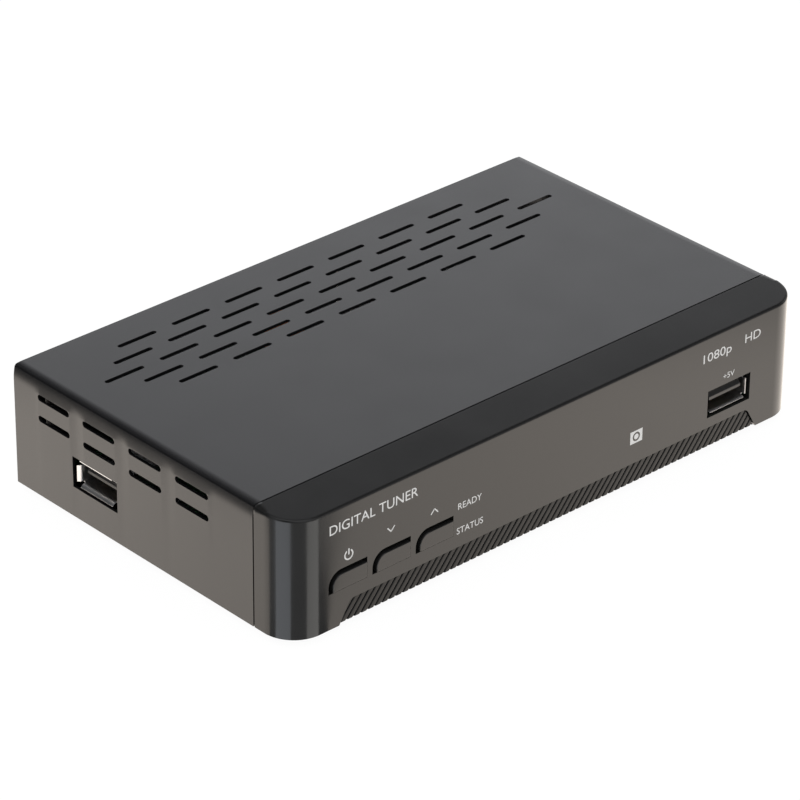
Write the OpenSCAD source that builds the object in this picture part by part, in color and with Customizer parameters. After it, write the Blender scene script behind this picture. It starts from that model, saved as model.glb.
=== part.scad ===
// Set-top digital television tuner: a folded steel case with a moulded front bezel, three push
// buttons, USB sockets at the front and the left side, and aerial, video and network sockets at the rear.
// Millimetres. The front faces -Y, +Z is up, and the origin is the middle of the footprint on the table.

/* [Case] */
// Width of the case across its sides
case_w = 168; // [156:1:200]
// Depth from the face of the bezel to the rear edge of the cover
case_d = 100; // [94:1:130]
// Height from the underside of the case to the top of the cover
case_h = 32.5; // [31.5:0.5:44]
// Thickness of the sheet steel
sheet_t = 0.8; // [0.6:0.1:1]
// Outside radius of the bends along the cover
bend_r = 1.6; // [1.4:0.1:3]
// Gap between pieces that slide together
fit_gap = 0.2; // [0.1:0.05:0.3]
// Height of the turned-down rear edge of the cover
rear_lip_h = 6; // [5.6:0.2:8]
// Height of the turned-up side edges of the chassis
chassis_edge_h = 5; // [3:0.5:6]
// Depth of the turned-in foot of the rear panel
panel_foot_d = 9; // [7:0.5:11]

/* [Bezel] */
// Depth of the bezel from its face to the seam with the cover
bezel_d = 12.6; // [12:0.1:16]
// Wall of the bezel
bezel_wall = 2.2; // [1.8:0.1:2.6]
// Thickness of the bezel's bottom plate
bezel_floor = 2.4; // [2:0.1:3]
// Radius of the bezel's two front corners
corner_r = 9; // [6:0.5:11]
// Fall of the bezel's top from the seam to the face
top_drop = 0.9; // [0.2:0.1:1.2]
// Open line between bezel and cover
seam_gap = 0.25; // [0.1:0.05:0.5]
// Length of the bezel's lip that reaches under the cover
lip_len = 3; // [2:0.5:5]
// Thickness of that lip
lip_t = 1.4; // [1.2:0.1:2]
// Length of chassis floor that reaches into the bezel
tongue_room = 4; // [3:0.5:5]
// Width of the chassis tongues that are screwed to the bezel
tongue_w = 12; // [9:0.5:16]
// Distance of those tongues' screws from the sides of the case
tongue_inset = 34; // [24:1:44]
// Gap between those tongues' ends and the bezel's front wall
tongue_clear = 0.4; // [0.3:0.1:0.8]

/* [Textured strip] */
// Distance from the side of the case to the strip's upper corner
strip_inset = 18.5; // [16:0.5:30]
// How far the strip's lower corner lies outside its upper corner
strip_flare = 3.4; // [1:0.2:5]
// Height of the strip's upper edge above the underside of the case
strip_top = 5.75; // [4.5:0.25:7]
// Height of the strip's lower edge above the underside of the case
strip_lift = 0.2; // [0.1:0.1:0.6]
// How far the strip lies behind the face of the bezel
strip_recess = 0.5; // [0.2:0.1:0.9]
// Radius of the strip's upper corners
strip_r = 1.5; // [0.5:0.25:2]
// Gap round the strip
strip_gap = 0.1; // [0.05:0.05:0.2]

/* [Vents] */
// Length of one vent slot
vent_len = 11.8; // [8:0.2:13]
// Width of one vent slot
vent_w = 1.5; // [1:0.1:2]
// Distance from slot to slot along a row
vent_pitch = 16.9; // [15.5:0.1:17.6]
// Distance from row to row
vent_row = 5.73; // [4.5:0.1:7]
// Slots in the middle row of the top
top_vent_count = 9; // [5:1:9]
// Distance of the top's last row from the rear edge
top_vent_rear = 10.1; // [8:0.1:14]
// Slots in one row of a side
side_vent_count = 4; // [2:1:4]
// Distance of the sides' last slot from the rear edge, to its middle
side_vent_rear = 15.2; // [12:0.2:18]
// Distance of the sides' upper row below the top
side_vent_drop = 5; // [4:0.5:7]

/* [Buttons] */
// Distance from the side of the case to the first button opening
button_inset = 11.6; // [10.5:0.1:20]
// Distance from button to button
button_pitch = 13.5; // [13:0.1:15]
// Width of a button opening
button_hole_w = 11.9; // [10:0.1:12.2]
// Height of a button opening
button_hole_h = 5.6; // [5:0.1:7]
// Height of the openings' lower edge above the underside of the case
button_z = 9.55; // [9:0.05:12]
// Radius of the openings' upper left corner
button_hole_r = 4; // [2:0.1:4.4]
// Wide gap left of and above a cap
button_gap = 1.1; // [0.6:0.1:1.4]
// Narrow gap right of and below a cap
button_clear = 0.3; // [0.25:0.05:0.4]
// How far a cap stands out of the bezel
button_proud = 0.4; // [0.3:0.1:0.8]
// Travel of a button
button_travel = 0.5; // [0.3:0.1:0.5]
// Thickness of the flange behind a cap
button_flange_t = 1; // [0.8:0.1:1.4]
// How far the flange reaches above and below its opening
button_flange_over = 1.2; // [0.8:0.1:1.6]
// Radius of the stem behind a flange
button_stem_r = 1.5; // [1.2:0.1:2]
// Length of that stem
button_stem_l = 1; // [0.8:0.1:1.6]
// Width and height of a switch body
switch_w = 6; // [5:0.2:7]
// Depth of a switch body
switch_d = 3.4; // [3.2:0.1:4.5]
// Radius of a switch plunger
plunger_r = 1.75; // [1.4:0.05:2]
// How far a plunger stands out of its switch
plunger_proud = 0.9; // [0.85:0.05:1.4]
// Radial gap of a plunger in its switch
plunger_gap = 0.15; // [0.1:0.05:0.25]
// Room left behind a fully pressed plunger
plunger_room = 0.4; // [0.3:0.1:0.6]
// Wall of a switch behind its plunger
switch_back_t = 0.7; // [0.5:0.1:0.9]

/* [USB sockets] */
// Width of a USB shell
usb_w = 13.1; // [12.6:0.1:13.6]
// Height of a USB shell
usb_h = 5.7; // [5.4:0.1:6.4]
// Length of a USB shell
usb_l = 14; // [12.5:0.5:16]
// Wall of a USB shell
usb_wall = 0.3; // [0.2:0.05:0.4]
// Gap round a shell in its cut-out
usb_gap = 0.9; // [0.4:0.1:1.2]
// How far a shell's mouth lies behind the surface
usb_recess = 0.6; // [0.3:0.1:1]
// Distance of the front socket's middle from the right side of the case
usb_inset = 25.1; // [20:0.1:32]
// Distance of the side socket's middle from the rear edge
usb_side_rear = 30.3; // [27:0.1:34]
// Width of the contact tongue
usb_tongue_w = 11.1; // [10:0.1:11.6]
// Thickness of the contact tongue
usb_tongue_t = 1.84; // [1.5:0.02:2]
// Gap between the contact tongue and the shell above it
usb_tongue_gap = 0.75; // [0.6:0.05:0.9]
// Distance of the contact tongue's tip behind the shell's mouth
usb_tongue_set = 1.6; // [1:0.1:2.5]
// Length of the block that holds the tongue
usb_block_l = 4; // [3:0.5:6]
// Board on each side of the front socket
usb_tab_margin = 5; // [4:0.5:5.5]

/* [Rear sockets] */
// How far the aerial sockets reach out of the rear
rf_reach = 9; // [8:0.5:12]
// Distance between the two aerial sockets
rf_pitch = 17; // [14:0.5:19]
// Outside radius of the aerial input
rf_in_r = 5.5; // [5.3:0.1:6]
// Bore radius of the aerial input
rf_in_bore_r = 4.8; // [4.7:0.05:4.9]
// Outside radius of the aerial output
rf_out_r = 4.75; // [4.6:0.05:4.8]
// Bore radius of the aerial output
rf_out_bore_r = 4.1; // [3.9:0.05:4.2]
// Radius of the aerial input's centre socket
rf_socket_r = 2; // [1.8:0.05:2.2]
// Bore radius of that socket
rf_socket_bore_r = 1.2; // [1.1:0.05:1.4]
// Radius of the aerial output's centre pin
rf_pin_r = 1.15; // [1:0.05:1.2]
// Depth of the aerial sockets' insulators
rf_base_d = 3; // [2:0.5:4]
// Width of the tuner can
tuner_w = 38; // [34:0.5:40]
// Depth of the tuner can
tuner_d = 30; // [24:1:34]
// Height of the tuner can
tuner_h = 13.5; // [13:0.5:15]
// How far a round sleeve's shoulder stands out from the sleeve
shoulder_step = 0.9; // [0.6:0.1:1.2]
// How far a shoulder reaches out of the rear panel
shoulder_proud = 1.2; // [0.8:0.1:2]
// Sheet of the tuner can
tuner_t = 0.5; // [0.4:0.1:0.8]
// Gap between the tuner can and the rear panel
tuner_gap = 0.9; // [0.6:0.1:1.2]
// How far the rear shells reach out of the rear panel
shell_proud = 0.6; // [0.3:0.1:1]
// Gap round a rear socket in its cut-out
socket_gap = 0.35; // [0.25:0.05:0.5]
// Width of the LAN shield
lan_w = 16; // [15.6:0.1:16.6]
// Height of the LAN shield
lan_h = 13.4; // [13:0.1:14]
// Depth of the LAN shield
lan_d = 16; // [15:0.5:20]
// Width of the LAN plug's cavity
lan_mouth_w = 11.9; // [11.7:0.1:12.4]
// Height of that cavity
lan_mouth_h = 8.2; // [7.6:0.1:8.4]
// Height of that cavity above the board
lan_mouth_z = 2.6; // [2.2:0.1:3]
// Depth of that cavity
lan_mouth_d = 12.5; // [11:0.5:13.5]
// Width of the latch's slot below that cavity
lan_key_w = 6.4; // [6:0.1:7]
// Height of that slot
lan_key_h = 1.6; // [1.2:0.1:1.8]
// Width of the HDMI shell
hdmi_w = 15; // [14.6:0.1:15.6]
// Height of the HDMI shell
hdmi_h = 5.6; // [5.4:0.1:6.4]
// Depth of the HDMI shell
hdmi_d = 12; // [11:0.5:14]
// Size of the HDMI shell's cut lower corners
hdmi_cut = 1.6; // [1:0.1:2.2]
// Depth of the HDMI insulator behind its tongue
hdmi_block_d = 5; // [3:0.5:6]
// From the HDMI tongue's side to the shell's outside
hdmi_tongue_gap = 1.5; // [1:0.1:2]
// HDMI tongue tip behind the shell's mouth
hdmi_tongue_set = 1.5; // [0.8:0.1:2.5]
// Thickness of the HDMI tongue
hdmi_tongue_t = 1.2; // [0.8:0.1:1.6]
// HDMI tongue above the shell's mid height
hdmi_tongue_lift = 0.5; // [0:0.1:0.8]
// Sheet of the LAN shield and the HDMI shell
shield_t = 0.3; // [0.2:0.05:0.4]
// Width of the SCART shell
scart_w = 46; // [44:0.5:47]
// Height of the SCART shell
scart_h = 13.5; // [12.5:0.1:14.5]
// Depth of the SCART shell
scart_d = 14; // [13:0.5:18]
// Sheet of the SCART shell
scart_t = 0.5; // [0.4:0.05:0.7]
// Size of the SCART shell's cut lower corners
scart_cut = 4; // [3:0.25:5]
// Channel between the SCART shell and its contact block
scart_channel = 1.3; // [1:0.1:1.6]
// SCART block's face behind the shell's mouth
scart_face_set = 1; // [0.5:0.1:1.5]
// Depth of the full-size back of the SCART block
scart_back_d = 4; // [3:0.5:5]
// Width of a SCART contact slot
scart_slot_w = 1.3; // [1:0.1:1.8]
// Height of a SCART contact slot
scart_slot_h = 4; // [3.4:0.1:4.2]
// Depth of a SCART contact slot
scart_slot_d = 7; // [5:0.5:8]
// Pitch of the SCART contact slots
scart_slot_pitch = 3.81; // [3.7:0.01:3.9]
// Between the two rows of SCART contact slots
scart_row_gap = 1.2; // [1:0.1:1.6]
// Width of the coaxial audio socket's body
spdif_w = 10; // [9.6:0.1:11]
// Outside radius of the coaxial audio sleeve
spdif_r = 4.15; // [4:0.05:4.3]
// Wall of the coaxial audio sleeve
spdif_sleeve_t = 0.6; // [0.4:0.1:0.8]
// How far the coaxial audio sleeve reaches out of the rear panel
spdif_reach = 8.5; // [7:0.5:9]
// Bore radius of the coaxial audio socket
spdif_bore_r = 1.6; // [1.5:0.05:1.8]
// Height of the coaxial audio socket's body
spdif_body_h = 11; // [10.6:0.2:13]
// Depth of the coaxial audio socket's body
spdif_body_d = 11; // [9:0.5:14]
// Width of the DC inlet
dc_w = 9; // [8.8:0.1:10]
// Height of the DC inlet
dc_h = 11; // [10:0.1:12]
// Depth of the DC inlet
dc_d = 14; // [12:0.5:16]
// Bore radius of the DC inlet
dc_bore_r = 3.1; // [3:0.05:3.3]
// Radius of the DC inlet's pin
dc_pin_r = 1; // [0.8:0.05:1.3]
// Height of the DC inlet's bore above the middle of its body
dc_lift = 0.6; // [0:0.1:1.2]
// Wall behind the DC inlet's bore
dc_back_t = 3; // [2:0.5:4]

/* [Boards] */
// Thickness of the main board
board_t = 1.6; // [1.2:0.1:2]
// Height of the standoffs between chassis and main board
standoff_h = 7.2; // [6.6:0.1:8]
// Radius of a standoff
standoff_r = 3; // [2.6:0.1:3.6]
// Distance of the main board's edges from the sides of the case
board_margin = 5; // [4:0.5:6]
// Distance of the standoffs from the main board's edges
standoff_inset = 6; // [4.5:0.5:8]
// Distance between the front and the rear standoffs
standoff_span = 38; // [30:1:40]
// Distance of the front standoffs from the main board's front edge
standoff_setback = 7; // [6.5:0.5:9]
// Gap between the main board and the rear panel
board_rear_gap = 0.6; // [0.4:0.1:1]
// Thickness of the front board
front_board_t = 1.2; // [1:0.1:1.6]
// Gap between the front board and the main board
board_gap = 0.5; // [0.3:0.1:1]
// Distance of the front board's right end from the front USB socket
front_board_clear = 8; // [6:0.5:14]
// Distance of the front board's left end from the side of the case
front_board_inset = 6; // [4.5:0.5:8]
// Distance of the front board's upper edge from the top of the case
front_board_drop = 7; // [5:0.5:8]
// Gap between the front board and the chassis tongues below it
front_board_lift = 1.2; // [0.6:0.1:2]
// Radius of the bezel's posts for the front board
post_r = 2.6; // [2.4:0.1:3.2]
// Distance of the posts from the front board's upper edge
post_drop = 3.2; // [3:0.1:4]
// Distance of the left post from the front board's left end
post_inset_left = 10; // [5:0.5:12]
// Distance of the right post from the front board's right end
post_inset_right = 5; // [4:0.5:8]
// Pins of the header between the boards
header_pins = 8; // [4:1:12]
// Pitch of the header pins
header_pitch = 2.54; // [2:0.02:2.6]
// Width of a header pin
header_pin_w = 0.64; // [0.5:0.02:0.8]

/* [Lamps and receiver] */
// Distance of the lamps from the place where a fourth button would start
lamp_offset = 9; // [5:0.5:14]
// Height of the lower lamp above the buttons' lower edge
lamp_rise = 0.8; // [0.5:0.1:2]
// Distance between the lamps
lamp_pitch = 6.5; // [5:0.1:8]
// Depth of a lamp
lamp_d = 1.5; // [1:0.1:2.5]
// Radius of a light pipe
pipe_r = 1.5; // [1.2:0.1:2]
// Distance of the infrared receiver from the right side of the case
receiver_inset = 57.3; // [50:0.1:64]
// Height of the infrared receiver above the underside of the case
receiver_z = 13.2; // [12:0.1:16]
// Width of the infrared receiver
receiver_w = 6; // [5:0.5:7]
// Height of the infrared receiver
receiver_h = 7; // [5:0.5:8]
// Depth of the infrared receiver
receiver_d = 3; // [2.5:0.1:4]
// Radius of the infrared receiver's lens
lens_r = 2; // [1.5:0.1:2.4]

/* [Inside] */
// Width of the processor
processor_w = 19; // [15:0.5:23]
// Height of the processor
processor_h = 1.8; // [1:0.1:2.5]
// Width of the heat sink
sink_w = 28; // [24:0.5:32]
// Height of the heat sink
sink_h = 8; // [6:0.5:11]
// Number of fins on the heat sink
sink_fins = 8; // [5:1:9]
// Thickness of a fin
fin_t = 1.2; // [0.8:0.1:1.6]
// Radius of a large capacitor
capacitor_r = 4; // [3:0.25:4.5]
// Height of a large capacitor
capacitor_h = 11; // [8:0.5:13]
// Width of a coil
coil_w = 7; // [5:0.5:8]
// Height of a coil
coil_h = 4; // [3:0.5:6]
// Distance of the processor from the middle of the case
processor_x = 8; // [0:0.5:12]
// Distance of the heat sink from the main board's front edge
sink_setback = 14; // [8:0.5:18]
// Width of a memory chip
memory_w = 8; // [6:0.5:10]
// Length of a memory chip
memory_l = 12.5; // [9:0.5:14]
// Height of a memory chip
memory_h = 1.1; // [0.8:0.1:1.5]
// Between the memory chips, and from them to the heat sink
memory_gap = 3; // [2:0.5:5]
// Gap between neighbours in the supply's rows
supply_gap = 2.5; // [1.5:0.25:4]
// Distance of the capacitors from the SCART shell, to their middles
supply_setback = 13; // [8:0.5:14]

/* [Fasteners and feet] */
// Radius of the rubber feet
foot_r = 5; // [4:0.25:6.5]
// Height of the rubber feet
foot_h = 2; // [1.6:0.1:4]
// Distance of the feet from the sides of the case
foot_inset = 16; // [12:0.5:22]
// Shank radius of a screw
screw_r = 1.45; // [1.2:0.05:1.5]
// Head radius of a screw
screw_head_r = 2.75; // [2.4:0.05:2.8]
// Head height of a screw
screw_head_h = 1.2; // [0.9:0.1:1.4]
// Radial gap of a screw in its hole
screw_gap = 0.05; // [0.02:0.01:0.1]
// Radial gap of a screw in a wider hole
hole_gap = 0.15; // [0.1:0.05:0.3]
// Radial gap of a screw head in its recess
head_gap = 0.3; // [0.2:0.05:0.4]
// Length of a screw's thread past what it holds
thread_l = 4; // [3:0.25:4.5]
// Shank radius of the front board's screws
small_screw_r = 1; // [0.8:0.05:1.2]
// Head radius of the front board's screws
small_head_r = 2.3; // [1.8:0.1:2.4]
// How far a rear screw reaches through the sheet that it holds
rear_screw_end = 2; // [1:0.25:3]
// Distance of the rear screws from the sides of the case
rear_screw_inset = 22; // [14:1:40]

/* [Hidden] */
$fn = 64;
// How far a cutting shape runs past the face that it opens
over = 1;

// Planes of the case
overall_d = button_proud + case_d + rf_reach;
front_y = -overall_d / 2 + button_proud;
rear_y = front_y + case_d;
side_x = case_w / 2;
base_z = foot_h;
top_z = base_z + case_h;
seam_y = front_y + bezel_d;
panel_y = rear_y - sheet_t;
panel_inner_y = panel_y - sheet_t;
sheet_inset = sheet_t + fit_gap;
lip_inset = sheet_inset + lip_t;
bezel_floor_y = seam_y - tongue_room;
chassis_front_y = bezel_floor_y + fit_gap;
tongue_x = side_x - tongue_inset;
tongue_front_y = front_y + bezel_wall + tongue_clear;
tongue_screw_y = (tongue_front_y + bezel_floor_y) / 2;
rear_screw_x = side_x - rear_screw_inset;
rear_screw_z = top_z - rear_lip_h / 2;
foot_x = side_x - foot_inset;
foot_front_y = seam_y + foot_inset / 2 + foot_r;
foot_rear_y = rear_y - foot_inset;

// Button and front board stack, from the bezel inwards
flange_y = front_y + bezel_wall + button_clear;
stem_y = flange_y + button_flange_t;
plunger_y = stem_y + button_stem_l;
switch_y = plunger_y + plunger_proud;
front_board_y = switch_y + switch_d;
front_board_back = front_board_y + front_board_t;
plunger_bore_r = plunger_r + plunger_gap;
plunger_bore_d = switch_d - switch_back_t;
plunger_l = plunger_proud + plunger_bore_d - button_travel - plunger_room;
button_w = button_hole_w - button_gap - button_clear;
button_h = button_hole_h - button_gap - button_clear;
button_r = button_hole_r - button_gap;
function button_left(i) = -side_x + button_inset + i * button_pitch;
function button_mid_x(i) = button_left(i) + button_gap + button_w / 2;
button_mid_z = base_z + button_z + button_clear + button_h / 2;

// Boards
main_board_z = base_z + sheet_t + standoff_h;
board_top = main_board_z + board_t;
board_half = side_x - board_margin;
board_front = front_board_back + board_gap;
board_rear = panel_inner_y - board_rear_gap;
standoff_x = board_half - standoff_inset;
standoff_front_y = board_front + standoff_setback;
front_board_z = base_z + bezel_floor + sheet_t + front_board_lift;
front_board_top = top_z - front_board_drop;
front_board_left = -side_x + front_board_inset;
front_board_right = side_x - usb_inset - usb_w / 2 - usb_gap - front_board_clear;
post_z = front_board_top - post_drop;
post_x = [front_board_left + post_inset_left, front_board_right - post_inset_right];
lamp_x = button_left(3) + lamp_offset;
lamp_z = [for (i = [0, 1]) base_z + button_z + lamp_rise + i * lamp_pitch];
receiver_x = side_x - receiver_inset;

// USB sockets
usb_x = side_x - usb_inset;
usb_front_y = front_y + usb_recess;
usb_side_x = -side_x + usb_recess;
usb_side_y = rear_y - usb_side_rear;
usb_tongue_z = usb_h - usb_wall - usb_tongue_gap - usb_tongue_t;
usb_tab_half = usb_w / 2 + usb_tab_margin;

// Row of rear sockets, from the left end of the board to its right end, evenly spaced
rear_widths = [dc_w, scart_w, spdif_w, hdmi_w, lan_w, tuner_w];
function sum_to(list, n) = n == 0 ? 0 : list[n - 1] + sum_to(list, n - 1);
rear_space = (2 * board_half - sum_to(rear_widths, 6)) / 7;
function rear_x(i) = -board_half + rear_space * (i + 1) + sum_to(rear_widths, i) + rear_widths[i] / 2;
dc_x = rear_x(0);
scart_x = rear_x(1);
spdif_x = rear_x(2);
hdmi_x = rear_x(3);
lan_x = rear_x(4);
tuner_x = rear_x(5);
mouth_y = panel_y + shell_proud;
tuner_rear_y = panel_inner_y - tuner_gap;
rf_z = board_top + tuner_h / 2;
rf_in_x = tuner_x + rf_pitch / 2;
rf_out_x = tuner_x - rf_pitch / 2;
rf_end_y = rear_y + rf_reach;
shoulder_y = panel_y + shoulder_proud;
spdif_z = board_top + spdif_body_h / 2;
spdif_face_y = panel_inner_y - fit_gap;
spdif_end_y = panel_y + spdif_reach;
dc_z = board_top + dc_h / 2 + dc_lift;
dc_bore_y = mouth_y - dc_d + dc_back_t;

// Parts on the main board
processor_y = board_front + sink_setback + sink_w / 2;
row_caps_y = mouth_y - scart_d - supply_setback;
row_coils_y = row_caps_y - capacitor_r - supply_gap - coil_w / 2;

// Sideways shifts of the rows of slots in the top, from the rear row to the front row
top_vent_shifts = [-3.4, -0.9, 0.2, -0.9, -3.4];

// A block between two opposite corners
module span(low, high) {
    translate(low) cube(high - low);
}

// A front-view outline carried from y0 to y1
module along_y(y0, y1) {
    translate([0, y1, 0]) rotate([90, 0, 0]) linear_extrude(y1 - y0) children();
}

// A side-view outline carried from x0 to x1
module along_x(x0, x1) {
    translate([x0, 0, 0]) rotate([90, 0, 90]) linear_extrude(x1 - x0) children();
}

// A plan outline carried from z0 to z1
module along_z(z0, z1) {
    translate([0, 0, z0]) linear_extrude(z1 - z0) children();
}

// A round bar along Y from y0 to y1
module bar_y(x, z, r, y0, y1) {
    translate([x, y1, z]) rotate([90, 0, 0]) cylinder(r = r, h = y1 - y0);
}

// Outline of the case from the front, inset from its sides and top, and longer below by drop
module case_outline(inset, drop) {
    half = side_x - inset;
    top = top_z - inset;
    low = base_z - drop;
    r = max(bend_r - inset, 0);
    translate([-half, low]) square([2 * half, top - r - low]);
    if (r > 0) {
        translate([-half + r, low]) square([2 * (half - r), top - low]);
        for (side = [-1, 1]) translate([side * (half - r), top - r]) circle(r);
    }
}

// A vent slot along X, with round ends
module slot() {
    reach = vent_len - vent_w;
    square([reach, vent_w], center = true);
    for (end = [-1, 1]) translate([end * reach / 2, 0]) circle(vent_w / 2);
}

// Staggered rows of slots in the top, fewer towards the front and the rear row
module top_vents() {
    rows = len(top_vent_shifts);
    for (row = [0 : rows - 1]) {
        count = top_vent_count - abs(row - (rows - 1) / 2);
        first_x = top_vent_shifts[row] - (count - 1) / 2 * vent_pitch;
        for (i = [0 : count - 1])
            translate([first_x + i * vent_pitch, rear_y - top_vent_rear - row * vent_row]) slot();
    }
}

// Two rows of slots in a side
module side_vents() {
    for (row = [0 : 1])
        for (i = [0 : side_vent_count - 1])
            translate([rear_y - side_vent_rear - i * vent_pitch, top_z - side_vent_drop - row * vent_row])
                slot();
}

// Three rows of slots in the floor
module floor_vents() {
    middle_y = (seam_y + rear_y) / 2;
    for (row = [-1 : 1])
        for (i = [-2 : 2])
            translate([i * vent_pitch, middle_y + row * vent_row]) slot();
}

// A USB shell's cut-out, with the shell's middle at the origin
module usb_cutout() {
    square([usb_w + 2 * usb_gap, usb_h + 2 * usb_gap], center = true);
}

// Folded sheet steel cover: top, two sides and a turned-down rear edge
module top_cover() {
    color([0.1, 0.1, 0.11]) difference() {
        union() {
            along_y(seam_y + seam_gap, rear_y) difference() {
                case_outline(0, 0);
                case_outline(sheet_t, over);
            }
            along_y(panel_y, rear_y) intersection() {
                case_outline(0, 0);
                translate([-side_x, top_z - rear_lip_h]) square([case_w, rear_lip_h + over]);
            }
        }
        along_z(top_z - sheet_t - over, top_z + over) top_vents();
        along_x(-side_x - over, side_x + over) side_vents();
        along_x(-side_x - over, -side_x + sheet_t + over)
            translate([usb_side_y, board_top + usb_h / 2]) usb_cutout();
        for (side = [-1, 1])
            bar_y(side * rear_screw_x, rear_screw_z, screw_r + screw_gap, panel_y - over, rear_y + over);
    }
}

// Folded sheet steel tray: floor, turned-up side edges, and two raised tongues under the bezel's screws
module base_chassis() {
    half = side_x - sheet_inset;
    front_half = side_x - lip_inset - fit_gap;
    wide_y = seam_y + lip_len + fit_gap;
    tongue_z = base_z + bezel_floor;
    color([0.12, 0.12, 0.13]) difference() {
        union() {
            span([-front_half, chassis_front_y, base_z], [front_half, wide_y, base_z + sheet_t]);
            span([-half, wide_y, base_z], [half, panel_y, base_z + sheet_t]);
            for (side = [-1, 1]) {
                edge_x = side > 0 ? half - sheet_t : -half;
                span([edge_x, wide_y, base_z],
                    [edge_x + sheet_t, panel_inner_y - fit_gap, base_z + chassis_edge_h]);
                tongue_left = side * tongue_x - tongue_w / 2;
                span([tongue_left, chassis_front_y, base_z],
                    [tongue_left + tongue_w, chassis_front_y + sheet_t, tongue_z + sheet_t]);
                span([tongue_left, tongue_front_y, tongue_z],
                    [tongue_left + tongue_w, chassis_front_y + sheet_t, tongue_z + sheet_t]);
            }
        }
        along_z(base_z - over, base_z + sheet_t + over) floor_vents();
        for (side = [-1, 1]) {
            translate([side * tongue_x, tongue_screw_y, tongue_z - over])
                cylinder(r = screw_r + screw_gap, h = sheet_t + 2 * over);
            translate([side * rear_screw_x, panel_inner_y - panel_foot_d / 2, base_z - over])
                cylinder(r = screw_r + screw_gap, h = sheet_t + 2 * over);
        }
    }
}

// Sheet steel rear panel with the sockets' cut-outs and a turned-in foot
module rear_panel() {
    foot_half = side_x - sheet_inset - sheet_t - fit_gap;
    color([0.12, 0.12, 0.13]) difference() {
        union() {
            along_y(panel_inner_y, panel_y) intersection() {
                case_outline(sheet_inset, 0);
                translate([-side_x, base_z + sheet_t]) square([case_w, case_h]);
            }
            span([-foot_half, panel_inner_y - panel_foot_d, base_z + sheet_t],
                [foot_half, panel_inner_y + sheet_t / 2, base_z + 2 * sheet_t]);
        }
        along_y(panel_inner_y - over, panel_y + over) {
            socket_cutout(dc_x, dc_w, dc_h);
            socket_cutout(lan_x, lan_w, lan_h);
            translate([scart_x, board_top]) scart_outline(-socket_gap);
            translate([hdmi_x, board_top]) hdmi_outline(-socket_gap);
        }
        sleeve_hole(spdif_x, spdif_z, spdif_r);
        sleeve_hole(rf_in_x, rf_z, rf_in_r);
        sleeve_hole(rf_out_x, rf_z, rf_out_r);
        for (side = [-1, 1]) {
            bar_y(side * rear_screw_x, rear_screw_z, screw_r + screw_gap,
                panel_inner_y - over, panel_y + over);
            translate([side * rear_screw_x, panel_inner_y - panel_foot_d / 2, base_z])
                cylinder(r = screw_r + screw_gap, h = 2 * sheet_t + over);
        }
    }
}

// Cut-out in the rear panel for a socket of the given size that stands on the board
module socket_cutout(x, w, h) {
    translate([x - w / 2 - socket_gap, board_top - socket_gap])
        square([w + 2 * socket_gap, h + 2 * socket_gap]);
}

// Round hole in the rear panel for the shoulder of a sleeve
module sleeve_hole(x, z, r) {
    bar_y(x, z, r + shoulder_step + socket_gap, panel_inner_y - over, panel_y + over);
}

// Plan of the bezel with its two round front corners, inset from the outside, back to a given y
module bezel_plan(inset, back_y) {
    r = corner_r - inset;
    half = side_x - inset;
    centre_x = side_x - corner_r;
    translate([-half, front_y + corner_r]) square([2 * half, back_y - front_y - corner_r]);
    translate([-centre_x, front_y + inset]) square([2 * centre_x, back_y - front_y - inset]);
    for (side = [-1, 1]) translate([side * centre_x, front_y + corner_r]) intersection() {
        circle(r);
        translate([-corner_r, -corner_r]) square([2 * corner_r, corner_r]);
    }
}

// Front view of the strip's field: a flared outline with round upper corners, larger by grow
module strip_outline(grow, low) {
    h = strip_top + grow;
    a = side_x - strip_inset + grow;
    b = a + strip_flare;
    len = sqrt(h * h + strip_flare * strip_flare);
    nx = h / len;
    nz = strip_flare / len;
    r = strip_r;
    cx = a - r * (1 - nz) / nx;
    low_x = b - strip_flare * low / h;
    translate([0, base_z]) {
        polygon([[-low_x, low], [low_x, low], [cx + r * nx, h - r + r * nz], [cx, h],
            [-cx, h], [-cx - r * nx, h - r + r * nz]]);
        for (side = [-1, 1]) translate([side * cx, h - r]) circle(r);
    }
}

// Front view of a button opening or cap, with one large radius at its upper left corner
module button_outline(w, h, r) {
    difference() {
        square([w, h]);
        translate([-over, h - r]) square([r + over, r + over]);
    }
    translate([r, h - r]) intersection() {
        circle(r);
        translate([-r - over, 0]) square([r + over, r + over]);
    }
}

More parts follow.
